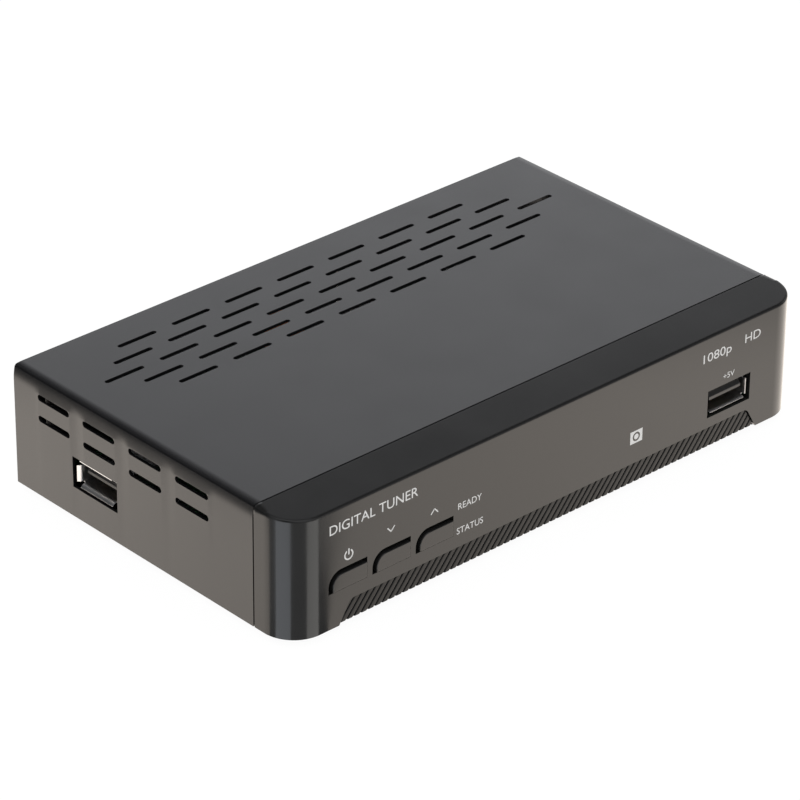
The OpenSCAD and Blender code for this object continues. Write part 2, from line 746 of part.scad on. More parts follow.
// Moulded front shell with round corners, a gently falling top and a lip under the cover
module front_bezel() {
    color([0.11, 0.11, 0.11]) difference() {
        union() {
            intersection() {
                along_z(base_z, top_z) bezel_plan(0, seam_y);
                along_y(front_y - over, seam_y + over) case_outline(0, 0);
            }
            along_y(seam_y - bezel_wall, seam_y + lip_len) case_outline(sheet_inset, 0);
            for (x = post_x) bar_y(x, post_z, post_r, front_y + bezel_wall / 2, front_board_y);
        }
        difference() {
            along_z(base_z + bezel_floor, top_z - bezel_wall - top_drop) bezel_plan(bezel_wall, seam_y);
            for (x = post_x) bar_y(x, post_z, post_r, front_y, front_board_y);
        }
        span([-side_x + lip_inset, seam_y - bezel_wall, base_z + bezel_floor],
            [side_x - lip_inset, seam_y + lip_len + over, top_z - lip_inset]);
        span([-side_x + lip_inset, bezel_floor_y, base_z - over],
            [side_x - lip_inset, seam_y + lip_len + over, base_z + bezel_floor + over]);
        along_x(-side_x - over, side_x + over)
            polygon([[front_y - over, top_z - top_drop * (1 + over / bezel_d)], [seam_y, top_z],
                [seam_y, top_z + over], [front_y - over, top_z + over]]);
        along_y(front_y - over, front_y + bezel_wall) strip_outline(strip_gap, -over);
        along_y(front_y - over, front_y + bezel_wall + over) {
            for (i = [0 : 2]) translate([button_left(i), base_z + button_z])
                button_outline(button_hole_w, button_hole_h, button_hole_r);
            translate([usb_x, board_top + usb_h / 2]) usb_cutout();
        }
        for (x = post_x)
            bar_y(x, post_z, small_screw_r + screw_gap,
                front_board_y - thread_l - over, front_board_y + over);
        for (side = [-1, 1]) translate([side * tongue_x, tongue_screw_y, base_z - over]) {
            cylinder(r = screw_r + hole_gap, h = bezel_floor + 2 * over);
            cylinder(r = screw_head_r + head_gap, h = screw_head_h + fit_gap + over);
        }
    }
}

// Ribbed strip set into the lower edge of the bezel's face
module textured_strip() {
    color([0.07, 0.07, 0.07])
        along_y(front_y + strip_recess, front_y + bezel_wall) strip_outline(0, strip_lift);
}

// Button cap with a flange behind the bezel and a stem onto its switch
module button(i) {
    flange_w = button_pitch - 2 * button_clear;
    flange_left = button_left(i) + (button_hole_w - flange_w) / 2;
    color([0.12, 0.12, 0.12]) {
        along_y(front_y - button_proud, flange_y)
            translate([button_left(i) + button_gap, base_z + button_z + button_clear])
                button_outline(button_w, button_h, button_r);
        along_y(flange_y, stem_y)
            translate([flange_left, base_z + button_z - button_flange_over])
                square([flange_w, button_hole_h + 2 * button_flange_over]);
        bar_y(button_mid_x(i), button_mid_z, button_stem_r, stem_y - button_flange_t / 2, plunger_y);
    }
}

module power_button() {
    button(0);
}

module down_button() {
    button(1);
}

module up_button() {
    button(2);
}

// Switch plunger that its cap pushes
module plunger(i) {
    color([0.15, 0.15, 0.15])
        bar_y(button_mid_x(i), button_mid_z, plunger_r, plunger_y, plunger_y + plunger_l);
}

module power_plunger() {
    plunger(0);
}

module down_plunger() {
    plunger(1);
}

module up_plunger() {
    plunger(2);
}

// Three switch bodies on the front board, each with a blind bore for its plunger
module switch_bodies() {
    color([0.7, 0.7, 0.72]) for (i = [0 : 2]) difference() {
        span([button_mid_x(i) - switch_w / 2, switch_y, button_mid_z - switch_w / 2],
            [button_mid_x(i) + switch_w / 2, front_board_y, button_mid_z + switch_w / 2]);
        bar_y(button_mid_x(i), button_mid_z, plunger_bore_r, switch_y - over, switch_y + plunger_bore_d);
    }
}

// Upright board behind the bezel's face
module front_board() {
    color([0.1, 0.32, 0.18]) difference() {
        span([front_board_left, front_board_y, front_board_z],
            [front_board_right, front_board_back, front_board_top]);
        for (x = post_x)
            bar_y(x, post_z, small_screw_r + hole_gap, front_board_y - over, front_board_back + over);
    }
}

// Two screws that hold the front board on the bezel's posts
module front_board_screws() {
    color([0.75, 0.75, 0.77]) for (x = post_x) {
        bar_y(x, post_z, small_screw_r, front_board_y - thread_l, front_board_back + screw_head_h / 2);
        bar_y(x, post_z, small_head_r, front_board_back, front_board_back + screw_head_h);
    }
}

// Two small lamps on the front board
module status_lamps() {
    half_w = pipe_r;
    half_h = pipe_r * 2 / 3;
    color([0.9, 0.9, 0.8]) for (z = lamp_z)
        span([lamp_x - half_w, front_board_y - lamp_d, z - half_h],
            [lamp_x + half_w, front_board_y, z + half_h]);
}

// Clear rods that carry the lamps' light to the inside of the face
module light_pipes() {
    color([0.9, 0.95, 1, 0.6]) for (z = lamp_z)
        bar_y(lamp_x, z, pipe_r, front_y + bezel_wall, front_board_y - lamp_d);
}

// Infrared receiver with its domed lens
module infrared_receiver() {
    z = base_z + receiver_z;
    face_y = front_board_y - receiver_d;
    color([0.08, 0.06, 0.08]) {
        span([receiver_x - receiver_w / 2, face_y, z - receiver_h / 2],
            [receiver_x + receiver_w / 2, front_board_y, z + receiver_h / 2]);
        intersection() {
            translate([receiver_x, face_y, z]) sphere(lens_r);
            span([receiver_x - lens_r, face_y - lens_r, z - lens_r],
                [receiver_x + lens_r, face_y + receiver_d / 2, z + lens_r]);
        }
    }
}

// Pin row between the front board and the main board
module board_header() {
    row_w = header_pins * header_pitch;
    middle_z = board_top + header_pitch / 2;
    color([0.1, 0.1, 0.1]) {
        span([-row_w / 2, board_front, board_top],
            [row_w / 2, board_front + header_pitch, board_top + header_pitch]);
        for (i = [0 : header_pins - 1]) {
            x = (i - (header_pins - 1) / 2) * header_pitch;
            span([x - header_pin_w / 2, front_board_back, middle_z - header_pin_w / 2],
                [x + header_pin_w / 2, board_front + header_pitch / 2, middle_z + header_pin_w / 2]);
        }
    }
}

// Main board on its standoffs, with a tab under the front USB socket
module main_board() {
    color([0.1, 0.32, 0.18]) difference() {
        union() {
            span([-board_half, board_front, main_board_z], [board_half, board_rear, board_top]);
            span([usb_x - usb_tab_half, tongue_front_y, main_board_z],
                [usb_x + usb_tab_half, board_front + over, board_top]);
        }
        at_standoffs(main_board_z - over) cylinder(r = screw_r + hole_gap, h = board_t + 2 * over);
    }
}

// Places of the four standoffs at height z
module at_standoffs(z) {
    for (side = [-1, 1])
        for (row = [0, 1])
            translate([side * standoff_x, standoff_front_y + row * standoff_span, z]) children();
}

// Threaded standoffs pressed into the chassis floor
module standoffs() {
    color([0.8, 0.78, 0.7]) at_standoffs(base_z + sheet_t) difference() {
        cylinder(r = standoff_r, h = standoff_h);
        translate([0, 0, standoff_h - thread_l - over])
            cylinder(r = screw_r + screw_gap, h = thread_l + 2 * over);
    }
}

// Screws that hold the main board on the standoffs
module board_screws() {
    color([0.75, 0.75, 0.77]) at_standoffs(board_top) {
        cylinder(r = screw_head_r, h = screw_head_h);
        translate([0, 0, -board_t - thread_l])
            cylinder(r = screw_r, h = board_t + thread_l + screw_head_h / 2);
    }
}

// USB shell: a rectangular steel tube with its mouth at y = 0, standing on z = 0
module usb_shell() {
    color([0.8, 0.8, 0.82]) difference() {
        span([-usb_w / 2, 0, 0], [usb_w / 2, usb_l, usb_h]);
        span([-usb_w / 2 + usb_wall, -over, usb_wall],
            [usb_w / 2 - usb_wall, usb_l + over, usb_h - usb_wall]);
    }
}

// USB insulator: a block that closes the shell's rear, with the contact tongue in front of it
module usb_tongue() {
    color([0.08, 0.08, 0.08]) {
        span([-usb_w / 2 + usb_wall, usb_l - usb_block_l, usb_wall],
            [usb_w / 2 - usb_wall, usb_l, usb_h - usb_wall]);
        span([-usb_tongue_w / 2, usb_tongue_set, usb_tongue_z],
            [usb_tongue_w / 2, usb_l - usb_block_l + over, usb_tongue_z + usb_tongue_t]);
    }
}

// Four flat contacts under a USB tongue
module usb_contact_row() {
    contact_w = 1;
    contact_t = 0.2;
    contact_pitch = 2.3;
    contact_set = usb_tongue_set + contact_w;
    for (i = [0 : 3]) {
        x = (i - 1.5) * contact_pitch;
        span([x - contact_w / 2, contact_set, usb_tongue_z - contact_t],
            [x + contact_w / 2, usb_l - usb_block_l, usb_tongue_z]);
    }
}

// Place of the front USB socket, with its mouth towards -Y
module at_front_usb() {
    translate([usb_x, usb_front_y, board_top]) children();
}

// Place of the side USB socket, with its mouth towards -X
module at_side_usb() {
    translate([usb_side_x, usb_side_y, board_top]) rotate([0, 0, -90]) children();
}

module front_usb_shell() {
    at_front_usb() usb_shell();
}

module front_usb_tongue() {
    at_front_usb() usb_tongue();
}

module side_usb_shell() {
    at_side_usb() usb_shell();
}

module side_usb_tongue() {
    at_side_usb() usb_tongue();
}

module usb_contacts() {
    color([0.85, 0.7, 0.35]) {
        at_front_usb() usb_contact_row();
        at_side_usb() usb_contact_row();
    }
}

// Place of a rear socket, with its mouth towards +Y and its depth along local +Y
module at_rear(x) {
    translate([x, mouth_y, board_top]) rotate([0, 0, 180]) children();
}

// Front view of the HDMI shell, narrower below, inset by its sheet
module hdmi_outline(inset) {
    half = hdmi_w / 2 - inset;
    low = inset;
    high = hdmi_h - inset;
    cut = hdmi_cut;
    polygon([[-half + cut, low], [half - cut, low], [half, low + cut], [half, high], [-half, high],
        [-half, low + cut]]);
}

// HDMI shell, closed behind
module hdmi_shell() {
    color([0.8, 0.8, 0.82]) at_rear(hdmi_x) difference() {
        along_y(0, hdmi_d) hdmi_outline(0);
        along_y(-over, hdmi_d - shield_t) hdmi_outline(shield_t);
    }
}

// HDMI insulator with its contact tongue
module hdmi_tongue() {
    block_y = hdmi_d - hdmi_block_d;
    tongue_half = hdmi_w / 2 - hdmi_tongue_gap;
    tongue_low = hdmi_h / 2 + hdmi_tongue_lift - hdmi_tongue_t / 2;
    color([0.08, 0.08, 0.08]) at_rear(hdmi_x) {
        along_y(block_y, hdmi_d - shield_t) hdmi_outline(shield_t);
        span([-tongue_half, hdmi_tongue_set, tongue_low],
            [tongue_half, block_y + over, tongue_low + hdmi_tongue_t]);
    }
}

// Steel shield round the LAN socket, with its mouth open
module lan_shield() {
    color([0.8, 0.8, 0.82]) at_rear(lan_x) difference() {
        span([-lan_w / 2, 0, 0], [lan_w / 2, lan_d, lan_h]);
        span([-lan_w / 2 + shield_t, -over, shield_t],
            [lan_w / 2 - shield_t, lan_d - shield_t, lan_h - shield_t]);
    }
}

// Plastic insert of the LAN socket, with the plug's cavity and the latch's slot below it
module lan_insert() {
    key_d = lan_mouth_d - 3;
    color([0.06, 0.06, 0.06]) at_rear(lan_x) difference() {
        span([-lan_w / 2 + shield_t, shield_t, shield_t],
            [lan_w / 2 - shield_t, lan_d - shield_t, lan_h - shield_t]);
        span([-lan_mouth_w / 2, -over, lan_mouth_z],
            [lan_mouth_w / 2, lan_mouth_d, lan_mouth_z + lan_mouth_h]);
        span([-lan_key_w / 2, -over, lan_mouth_z - lan_key_h],
            [lan_key_w / 2, key_d, lan_mouth_z + over]);
    }
}

// Eight sprung contacts high in the LAN cavity, held at its rear wall
module lan_contacts() {
    contact_w = 0.4;
    contact_t = 0.3;
    contact_pitch = 1.02;
    contact_set = 3;
    contact_z = lan_mouth_z + lan_mouth_h - 1.4;
    color([0.85, 0.7, 0.35]) at_rear(lan_x) for (i = [0 : 7]) {
        x = (i - 3.5) * contact_pitch;
        span([x - contact_w / 2, contact_set, contact_z],
            [x + contact_w / 2, lan_mouth_d, contact_z + contact_t]);
    }
}

// Front view of the SCART shell, with its lower corners cut off, inset from the outside
module scart_outline(inset) {
    half = scart_w / 2 - inset;
    low = inset;
    high = scart_h - inset;
    cut = scart_cut;
    polygon([[-half + cut, low], [half - cut, low], [half, low + cut], [half, high], [-half, high],
        [-half, low + cut]]);
}

// SCART shell, closed behind
module scart_shell() {
    color([0.75, 0.75, 0.78]) at_rear(scart_x) difference() {
        along_y(0, scart_d) scart_outline(0);
        along_y(-over, scart_d - scart_t) scart_outline(scart_t);
    }
}

// SCART contact block with two staggered rows of slots, standing in the shell with a channel round it
module scart_block() {
    row_half = (scart_row_gap + scart_slot_h) / 2;
    back_y = scart_d - scart_back_d;
    color([0.06, 0.06, 0.06]) at_rear(scart_x) difference() {
        union() {
            along_y(back_y, scart_d - scart_t) scart_outline(scart_t);
            along_y(scart_face_set, back_y + over) scart_outline(scart_t + scart_channel);
        }
        for (row = [-1, 1])
            for (i = [0 : 9]) {
                x = (i - 4.5 + row / 4) * scart_slot_pitch;
                z = scart_h / 2 + row * row_half;
                span([x - scart_slot_w / 2, -over, z - scart_slot_h / 2],
                    [x + scart_slot_w / 2, scart_slot_d, z + scart_slot_h / 2]);
            }
    }
}

// Coaxial audio socket: plastic body behind the panel with the insulator inside the sleeve
module spdif_body() {
    end_set = 0.3;
    bore_floor_y = spdif_face_y - 2;
    color([0.85, 0.35, 0.05]) difference() {
        union() {
            span([spdif_x - spdif_w / 2, spdif_face_y - spdif_body_d, board_top],
                [spdif_x + spdif_w / 2, spdif_face_y, board_top + spdif_body_h]);
            bar_y(spdif_x, spdif_z, spdif_r - spdif_sleeve_t, spdif_face_y - over, spdif_end_y - end_set);
        }
        bar_y(spdif_x, spdif_z, spdif_bore_r, bore_floor_y, spdif_end_y + over);
    }
}

// Plated sleeve of the coaxial audio socket
module spdif_sleeve() {
    color([0.85, 0.8, 0.6])
        sleeve(spdif_x, spdif_z, spdif_r, spdif_r - spdif_sleeve_t, spdif_face_y, spdif_end_y);
}

// Round sleeve along Y with a shoulder in the rear panel, and a straight bore
module sleeve(x, z, r, bore_r, y0, y1) {
    difference() {
        union() {
            bar_y(x, z, r + shoulder_step, y0, shoulder_y);
            bar_y(x, z, r, shoulder_y - over, y1);
        }
        bar_y(x, z, bore_r, y0 - over, y1 + over);
    }
}

// DC inlet body with its round bore
module dc_inlet_body() {
    color([0.06, 0.06, 0.06]) difference() {
        span([dc_x - dc_w / 2, mouth_y - dc_d, board_top], [dc_x + dc_w / 2, mouth_y, board_top + dc_h]);
        bar_y(dc_x, dc_z, dc_bore_r, dc_bore_y, mouth_y + over);
    }
}

// Centre pin of the DC inlet
module dc_inlet_pin() {
    tip_set = 1;
    color([0.8, 0.8, 0.82]) bar_y(dc_x, dc_z, dc_pin_r, dc_bore_y, mouth_y - tip_set);
}

// Tinplate can of the tuner, open towards the board
module tuner_can() {
    color([0.75, 0.76, 0.78]) difference() {
        span([tuner_x - tuner_w / 2, tuner_rear_y - tuner_d, board_top],
            [tuner_x + tuner_w / 2, tuner_rear_y, board_top + tuner_h]);
        span([tuner_x - tuner_w / 2 + tuner_t, tuner_rear_y - tuner_d + tuner_t, board_top - over],
            [tuner_x + tuner_w / 2 - tuner_t, tuner_rear_y - tuner_t, board_top + tuner_h - tuner_t]);
    }
}

// Plated sleeves of the two aerial sockets
module rf_in_sleeve() {
    color([0.85, 0.8, 0.6]) sleeve(rf_in_x, rf_z, rf_in_r, rf_in_bore_r, tuner_rear_y, rf_end_y);
}

module rf_out_sleeve() {
    color([0.85, 0.8, 0.6]) sleeve(rf_out_x, rf_z, rf_out_r, rf_out_bore_r, tuner_rear_y, rf_end_y);
}

// Insulator and hollow centre contact of the aerial input
module rf_in_core() {
    tip_set = 1;
    color([0.9, 0.9, 0.88]) difference() {
        union() {
            bar_y(rf_in_x, rf_z, rf_in_bore_r, tuner_rear_y, tuner_rear_y + rf_base_d);
            bar_y(rf_in_x, rf_z, rf_socket_r, tuner_rear_y + rf_base_d / 2, rf_end_y - tip_set);
        }
        bar_y(rf_in_x, rf_z, rf_socket_bore_r, tuner_rear_y + rf_base_d, rf_end_y + over);
    }
}

// Insulator and centre pin of the aerial output
module rf_out_core() {
    tip_set = 0.5;
    color([0.9, 0.9, 0.88]) {
        bar_y(rf_out_x, rf_z, rf_out_bore_r, tuner_rear_y, tuner_rear_y + rf_base_d);
        bar_y(rf_out_x, rf_z, rf_pin_r, tuner_rear_y + rf_base_d / 2, rf_end_y - tip_set);
    }
}

// Main processor under the heat sink
module processor() {
    half = processor_w / 2;
    color([0.07, 0.07, 0.07])
        span([processor_x - half, processor_y - half, board_top],
            [processor_x + half, processor_y + half, board_top + processor_h]);
}

// Finned aluminium heat sink glued on the processor
module heat_sink() {
    half = sink_w / 2;
    plate_t = 2;
    low = board_top + processor_h;
    fin_pitch = (sink_w - fin_t) / (sink_fins - 1);
    color([0.78, 0.79, 0.8]) {
        span([processor_x - half, processor_y - half, low],
            [processor_x + half, processor_y + half, low + plate_t]);
        for (i = [0 : sink_fins - 1]) {
            x = processor_x - half + i * fin_pitch;
            span([x, processor_y - half, low + plate_t / 2], [x + fin_t, processor_y + half, low + sink_h]);
        }
    }
}

// Memory chips beside the processor
module memory_chips() {
    left = processor_x + sink_w / 2 + memory_gap;
    color([0.07, 0.07, 0.07]) for (row = [0, 1])
        translate([left, processor_y + memory_gap / 2 - row * (memory_l + memory_gap), board_top])
            cube([memory_w, memory_l, memory_h]);
}

// Upright electrolytic capacitors of the supply
module capacitors() {
    pitch = 2 * capacitor_r + supply_gap;
    color([0.3, 0.32, 0.38]) for (i = [-1 : 1])
        translate([scart_x + i * pitch, row_caps_y, board_top]) cylinder(r = capacitor_r, h = capacitor_h);
}

// Shielded coils of the supply
module coils() {
    pitch = coil_w + supply_gap;
    color([0.25, 0.25, 0.26]) for (i = [-1 : 1])
        translate([scart_x + i * pitch - coil_w / 2, row_coils_y - coil_w / 2, board_top])
            cube([coil_w, coil_w, coil_h]);
}

// Transformer block in front of the LAN socket
module lan_transformer() {
    block = [13, 8, 5.5];
    gap = 4;
    color([0.07, 0.07, 0.07])
        translate([lan_x - block.x / 2, mouth_y - lan_d - gap - block.y, board_top]) cube(block);
}

// Two screws through the cover's rear edge into the rear panel
module cover_screws() {
    color([0.2, 0.2, 0.21]) for (side = [-1, 1]) {
        bar_y(side * rear_screw_x, rear_screw_z, screw_head_r, rear_y, rear_y + screw_head_h);
        bar_y(side * rear_screw_x, rear_screw_z, screw_r, panel_inner_y - rear_screw_end,
            rear_y + screw_head_h / 2);
    }
}

// Screws from below: two into the tongues under the bezel, two into the rear panel's foot
module chassis_screws() {
    color([0.2, 0.2, 0.21]) for (side = [-1, 1]) {
        translate([side * tongue_x, tongue_screw_y, base_z + fit_gap]) {
            cylinder(r = screw_head_r, h = screw_head_h);
            cylinder(r = screw_r, h = bezel_floor + sheet_t);
        }
        translate([side * rear_screw_x, panel_inner_y - panel_foot_d / 2, base_z - screw_head_h]) {
            cylinder(r = screw_head_r, h = screw_head_h);
            cylinder(r = screw_r, h = screw_head_h + 2 * sheet_t + rear_screw_end);
        }
    }
}

// Rubber feet stuck under the chassis floor
module rubber_feet() {
    color([0.05, 0.05, 0.05]) for (side = [-1, 1])
        for (y = [foot_front_y, foot_rear_y])
            translate([side * foot_x, y, 0]) cylinder(r = foot_r, h = foot_h);
}

top_cover();
base_chassis();
rear_panel();
front_bezel();
textured_strip();
power_button();
down_button();
up_button();
power_plunger();
down_plunger();
up_plunger();
switch_bodies();
front_board();
front_board_screws();
status_lamps();
light_pipes();
infrared_receiver();
board_header();
main_board();
standoffs();
board_screws();
front_usb_shell();
front_usb_tongue();
side_usb_shell();
side_usb_tongue();
usb_contacts();
hdmi_shell();
hdmi_tongue();
lan_shield();
lan_insert();
lan_contacts();
scart_shell();
scart_block();
spdif_body();
spdif_sleeve();
dc_inlet_body();
dc_inlet_pin();
tuner_can();
rf_in_sleeve();
rf_in_core();
rf_out_sleeve();
rf_out_core();
processor();
heat_sink();
memory_chips();
capacitors();
coils();
lan_transformer();
cover_screws();
chassis_screws();
rubber_feet();
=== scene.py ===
import math

import bpy
from mathutils import Matrix, Vector


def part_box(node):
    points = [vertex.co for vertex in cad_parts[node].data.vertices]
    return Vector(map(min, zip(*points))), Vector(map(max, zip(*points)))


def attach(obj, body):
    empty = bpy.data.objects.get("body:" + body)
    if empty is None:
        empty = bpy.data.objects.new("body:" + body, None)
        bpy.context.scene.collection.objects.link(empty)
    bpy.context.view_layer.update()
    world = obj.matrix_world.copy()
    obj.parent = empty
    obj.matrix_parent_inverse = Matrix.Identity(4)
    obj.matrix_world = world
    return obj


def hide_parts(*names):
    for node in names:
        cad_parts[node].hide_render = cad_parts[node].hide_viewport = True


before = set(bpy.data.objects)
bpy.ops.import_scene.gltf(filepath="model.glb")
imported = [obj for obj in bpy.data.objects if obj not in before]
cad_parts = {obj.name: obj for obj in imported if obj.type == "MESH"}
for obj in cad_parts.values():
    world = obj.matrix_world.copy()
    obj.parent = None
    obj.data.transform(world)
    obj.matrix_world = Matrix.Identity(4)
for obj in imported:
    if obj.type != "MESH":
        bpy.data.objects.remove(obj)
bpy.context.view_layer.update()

# Chassis tray
# A folded tray of 0.8 mm steel sheet, sprayed black, that carries every inner part.
# Two raised tongues lie in the floor of the bezel, and screws from below hold both together.
mm = 0.001
# A Mix node's two colours are its inputs 6 and 7, and the mixed colour is its output 2.
mix_first, mix_second, mix_result = 6, 7, 2


def make_mottle():
    """Node group of soft patches and a fine grain, for colour, roughness and bump height."""
    group = bpy.data.node_groups.new("mottle", "ShaderNodeTree")
    for name, kind in (("Dark", "Color"), ("Pale", "Color"), ("Smooth", "Float"), ("Rough", "Float"),
                       ("Grain", "Float")):
        group.interface.new_socket(name, in_out="INPUT", socket_type="NodeSocket" + kind)
    for name, kind in (("Color", "Color"), ("Roughness", "Float"), ("Height", "Float")):
        group.interface.new_socket(name, in_out="OUTPUT", socket_type="NodeSocket" + kind)
    given = group.nodes.new("NodeGroupInput")
    result = group.nodes.new("NodeGroupOutput")
    place = group.nodes.new("ShaderNodeTexCoord")
    patches = group.nodes.new("ShaderNodeTexNoise")
    patches.inputs["Scale"].default_value = 55
    patches.inputs["Detail"].default_value = 4
    grain = group.nodes.new("ShaderNodeTexNoise")
    grain.inputs["Detail"].default_value = 2
    tone = group.nodes.new("ShaderNodeMath")
    tone.operation = "MULTIPLY_ADD"
    grain_share = 0.35
    tone.inputs[1].default_value = grain_share
    colour = group.nodes.new("ShaderNodeMix")
    colour.data_type = "RGBA"
    gloss = group.nodes.new("ShaderNodeMapRange")
    gloss.inputs["From Min"].default_value = 0.3
    gloss.inputs["From Max"].default_value = 0.7
    join = group.links.new
    join(place.outputs["Object"], patches.inputs["Vector"])
    join(place.outputs["Object"], grain.inputs["Vector"])
    join(given.outputs["Grain"], grain.inputs["Scale"])
    join(grain.outputs[0], tone.inputs[0])
    join(patches.outputs[0], tone.inputs[2])
    join(tone.outputs[0], colour.inputs[0])
    join(given.outputs["Dark"], colour.inputs[mix_first])
    join(given.outputs["Pale"], colour.inputs[mix_second])
    join(patches.outputs[0], gloss.inputs["Value"])
    join(given.outputs["Smooth"], gloss.inputs["To Min"])
    join(given.outputs["Rough"], gloss.inputs["To Max"])
    join(colour.outputs[mix_result], result.inputs["Color"])
    join(gloss.outputs["Result"], result.inputs["Roughness"])
    join(grain.outputs[0], result.inputs["Height"])
    return group


mottle = make_mottle()


def surface(name, dark, pale, least, most, grain, depth, metal=0.0, level=0.5):
    """A material between two colours, from least to most rough, with a grain of that depth in mm."""
    material = bpy.data.materials.new(name)
    material.use_nodes = True
    tree = material.node_tree
    shader = tree.nodes["Principled BSDF"]
    shader.inputs["Metallic"].default_value = metal
    shader.inputs["Specular IOR Level"].default_value = level
    effect = tree.nodes.new("ShaderNodeGroup")
    effect.node_tree = mottle
    effect.inputs["Dark"].default_value = (*dark, 1)
    effect.inputs["Pale"].default_value = (*pale, 1)
    effect.inputs["Smooth"].default_value = least
    effect.inputs["Rough"].default_value = most
    effect.inputs["Grain"].default_value = grain
    bump = tree.nodes.new("ShaderNodeBump")
    bump.inputs["Strength"].default_value = 0.5
    bump.inputs["Distance"].default_value = depth * mm
    tree.links.new(effect.outputs["Color"], shader.inputs["Base Color"])
    tree.links.new(effect.outputs["Roughness"], shader.inputs["Roughness"])
    tree.links.new(effect.outputs["Height"], bump.inputs["Height"])
    tree.links.new(bump.outputs["Normal"], shader.inputs["Normal"])
    return material


def dress(material, *nodes):
    """Give these CAD nodes the material."""
    for node in nodes:
        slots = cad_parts[node].data.materials
        slots.clear()
        slots.append(material)


chassis_paint = surface("chassis_paint", (0.018, 0.018, 0.019), (0.034, 0.034, 0.035),
                        0.38, 0.5, 2600, 0.02)
dress(chassis_paint, "base_chassis")

# Rubber feet
# Four round self-adhesive feet of soft black rubber, moulded with a shallow dish below.
# They are stuck to the underside of the tray near its corners.
feet_low, feet_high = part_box("rubber_feet")
foot_r, foot_rim, dish_slope, dish_depth = 5 * mm, 1.3 * mm, 0.5 * mm, 0.5 * mm


def settle(name, stretch=(1, 1, 1)):
    """Name the primitive just added, stretch it, and put its place in its mesh."""
    piece = bpy.context.active_object
    piece.name = piece.data.name = name
    piece.scale = stretch
    bpy.ops.object.transform_apply(location=True, rotation=True, scale=True)
    return piece


def rod(name, radius, low, high, steps=48):
    """Add a round rod between two points that differ along one axis."""
    low, high = Vector(low), Vector(high)
    bpy.ops.object.select_all(action="DESELECT")
    turn = (high - low).to_track_quat("Z", "Y").to_euler()
    bpy.ops.mesh.primitive_cylinder_add(vertices=steps, radius=radius, depth=(high - low).length,
                                        location=(low + high) / 2, rotation=turn)
    return settle(name)


def take(piece):
    """Make this piece the only selected object, and the active one."""
    bpy.ops.object.select_all(action="DESELECT")
    piece.select_set(True)
    bpy.context.view_layer.objects.active = piece


def pick(piece, kind, test):
    """In edit mode, select the faces or edges whose middle and direction pass the test."""
    take(piece)
    bpy.ops.object.mode_set(mode="EDIT")
    bpy.ops.mesh.select_mode(type=kind)
    bpy.ops.mesh.select_all(action="DESELECT")
    bpy.ops.object.mode_set(mode="OBJECT")
    corners = piece.data.vertices
    if kind == "FACE":
        for face in piece.data.polygons:
            face.select = test(face.center, face.normal)
    else:
        for edge in piece.data.edges:
            first, last = (corners[i].co for i in edge.vertices)
            edge.select = test((first + last) / 2, (last - first).normalized())
    bpy.ops.object.mode_set(mode="EDIT")


def close(piece):
    """Leave edit mode with the faces turned outward."""
    bpy.ops.mesh.select_all(action="SELECT")
    bpy.ops.mesh.normals_make_consistent(inside=False)
    bpy.ops.object.mode_set(mode="OBJECT")
    return piece


def apply(piece, kind, **settings):
    """Add a modifier with these settings and apply it."""
    take(piece)
    modifier = piece.modifiers.new(kind.lower(), kind)
    for name, value in settings.items():
        setattr(modifier, name, value)
    bpy.ops.object.modifier_apply(modifier=modifier.name)
    return piece


def smooth(piece, angle=35):
    """Shade smooth across edges flatter than the angle, and keep the large faces flat."""
    take(piece)
    bpy.ops.object.shade_smooth_by_angle(angle=math.radians(angle))
    return apply(piece, "WEIGHTED_NORMAL", weight=100, keep_sharp=True)


def soften(piece, width, steps=2, angle=35):
    """Round every edge sharper than the angle, and shade the rest smooth."""
    apply(piece, "BEVEL", width=width, segments=steps, limit_method="ANGLE",
          angle_limit=math.radians(angle), miter_outer="MITER_ARC", harden_normals=False)
    return smooth(piece, angle)


def twin(piece, name, matrix):
    """A copy with its own mesh, moved by the matrix."""
    other = piece.copy()
    other.data = piece.data.copy()
    other.name = other.data.name = name
    bpy.context.collection.objects.link(other)
    other.data.transform(matrix)
    return other


def fit(piece, material, slot, *nodes, body="case"):
    """Give a finished piece its material and its body, and hide the CAD nodes it stands for; the slot is
    not used.
    """
    piece.data.materials.clear()
    piece.data.materials.append(material)
    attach(piece, body)
    if nodes:
        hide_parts(*nodes)
    return piece


foot_rubber = surface("foot_rubber", (0.012, 0.012, 0.012), (0.03, 0.03, 0.029), 0.7, 0.85, 5000, 0.03)
foot = rod("foot", foot_r, (0, 0, feet_low.z), (0, 0, feet_high.z), 64)
pick(foot, "FACE", lambda middle, facing: facing.z < -0.9)
bpy.ops.mesh.inset(thickness=foot_rim)
bpy.ops.mesh.inset(thickness=dish_slope, depth=-dish_depth)
close(foot)
soften(foot, 0.3 * mm, 3)
number = 0
for x in (feet_low.x + foot_r, feet_high.x - foot_r):
    for y in (feet_low.y + foot_r, feet_high.y - foot_r):
        number += 1
        copy = twin(foot, "foot_%d" % number, Matrix.Translation((x, y, 0)))
        fit(copy, foot_rubber, "foot_rubber", "rubber_feet")
bpy.data.objects.remove(foot, do_unlink=True)

# Main board and what it carries
# A green glass-fibre board on brass standoffs, with a processor under a finned heat sink, memory,
# supply parts, the network transformer and the tinned tuner can.


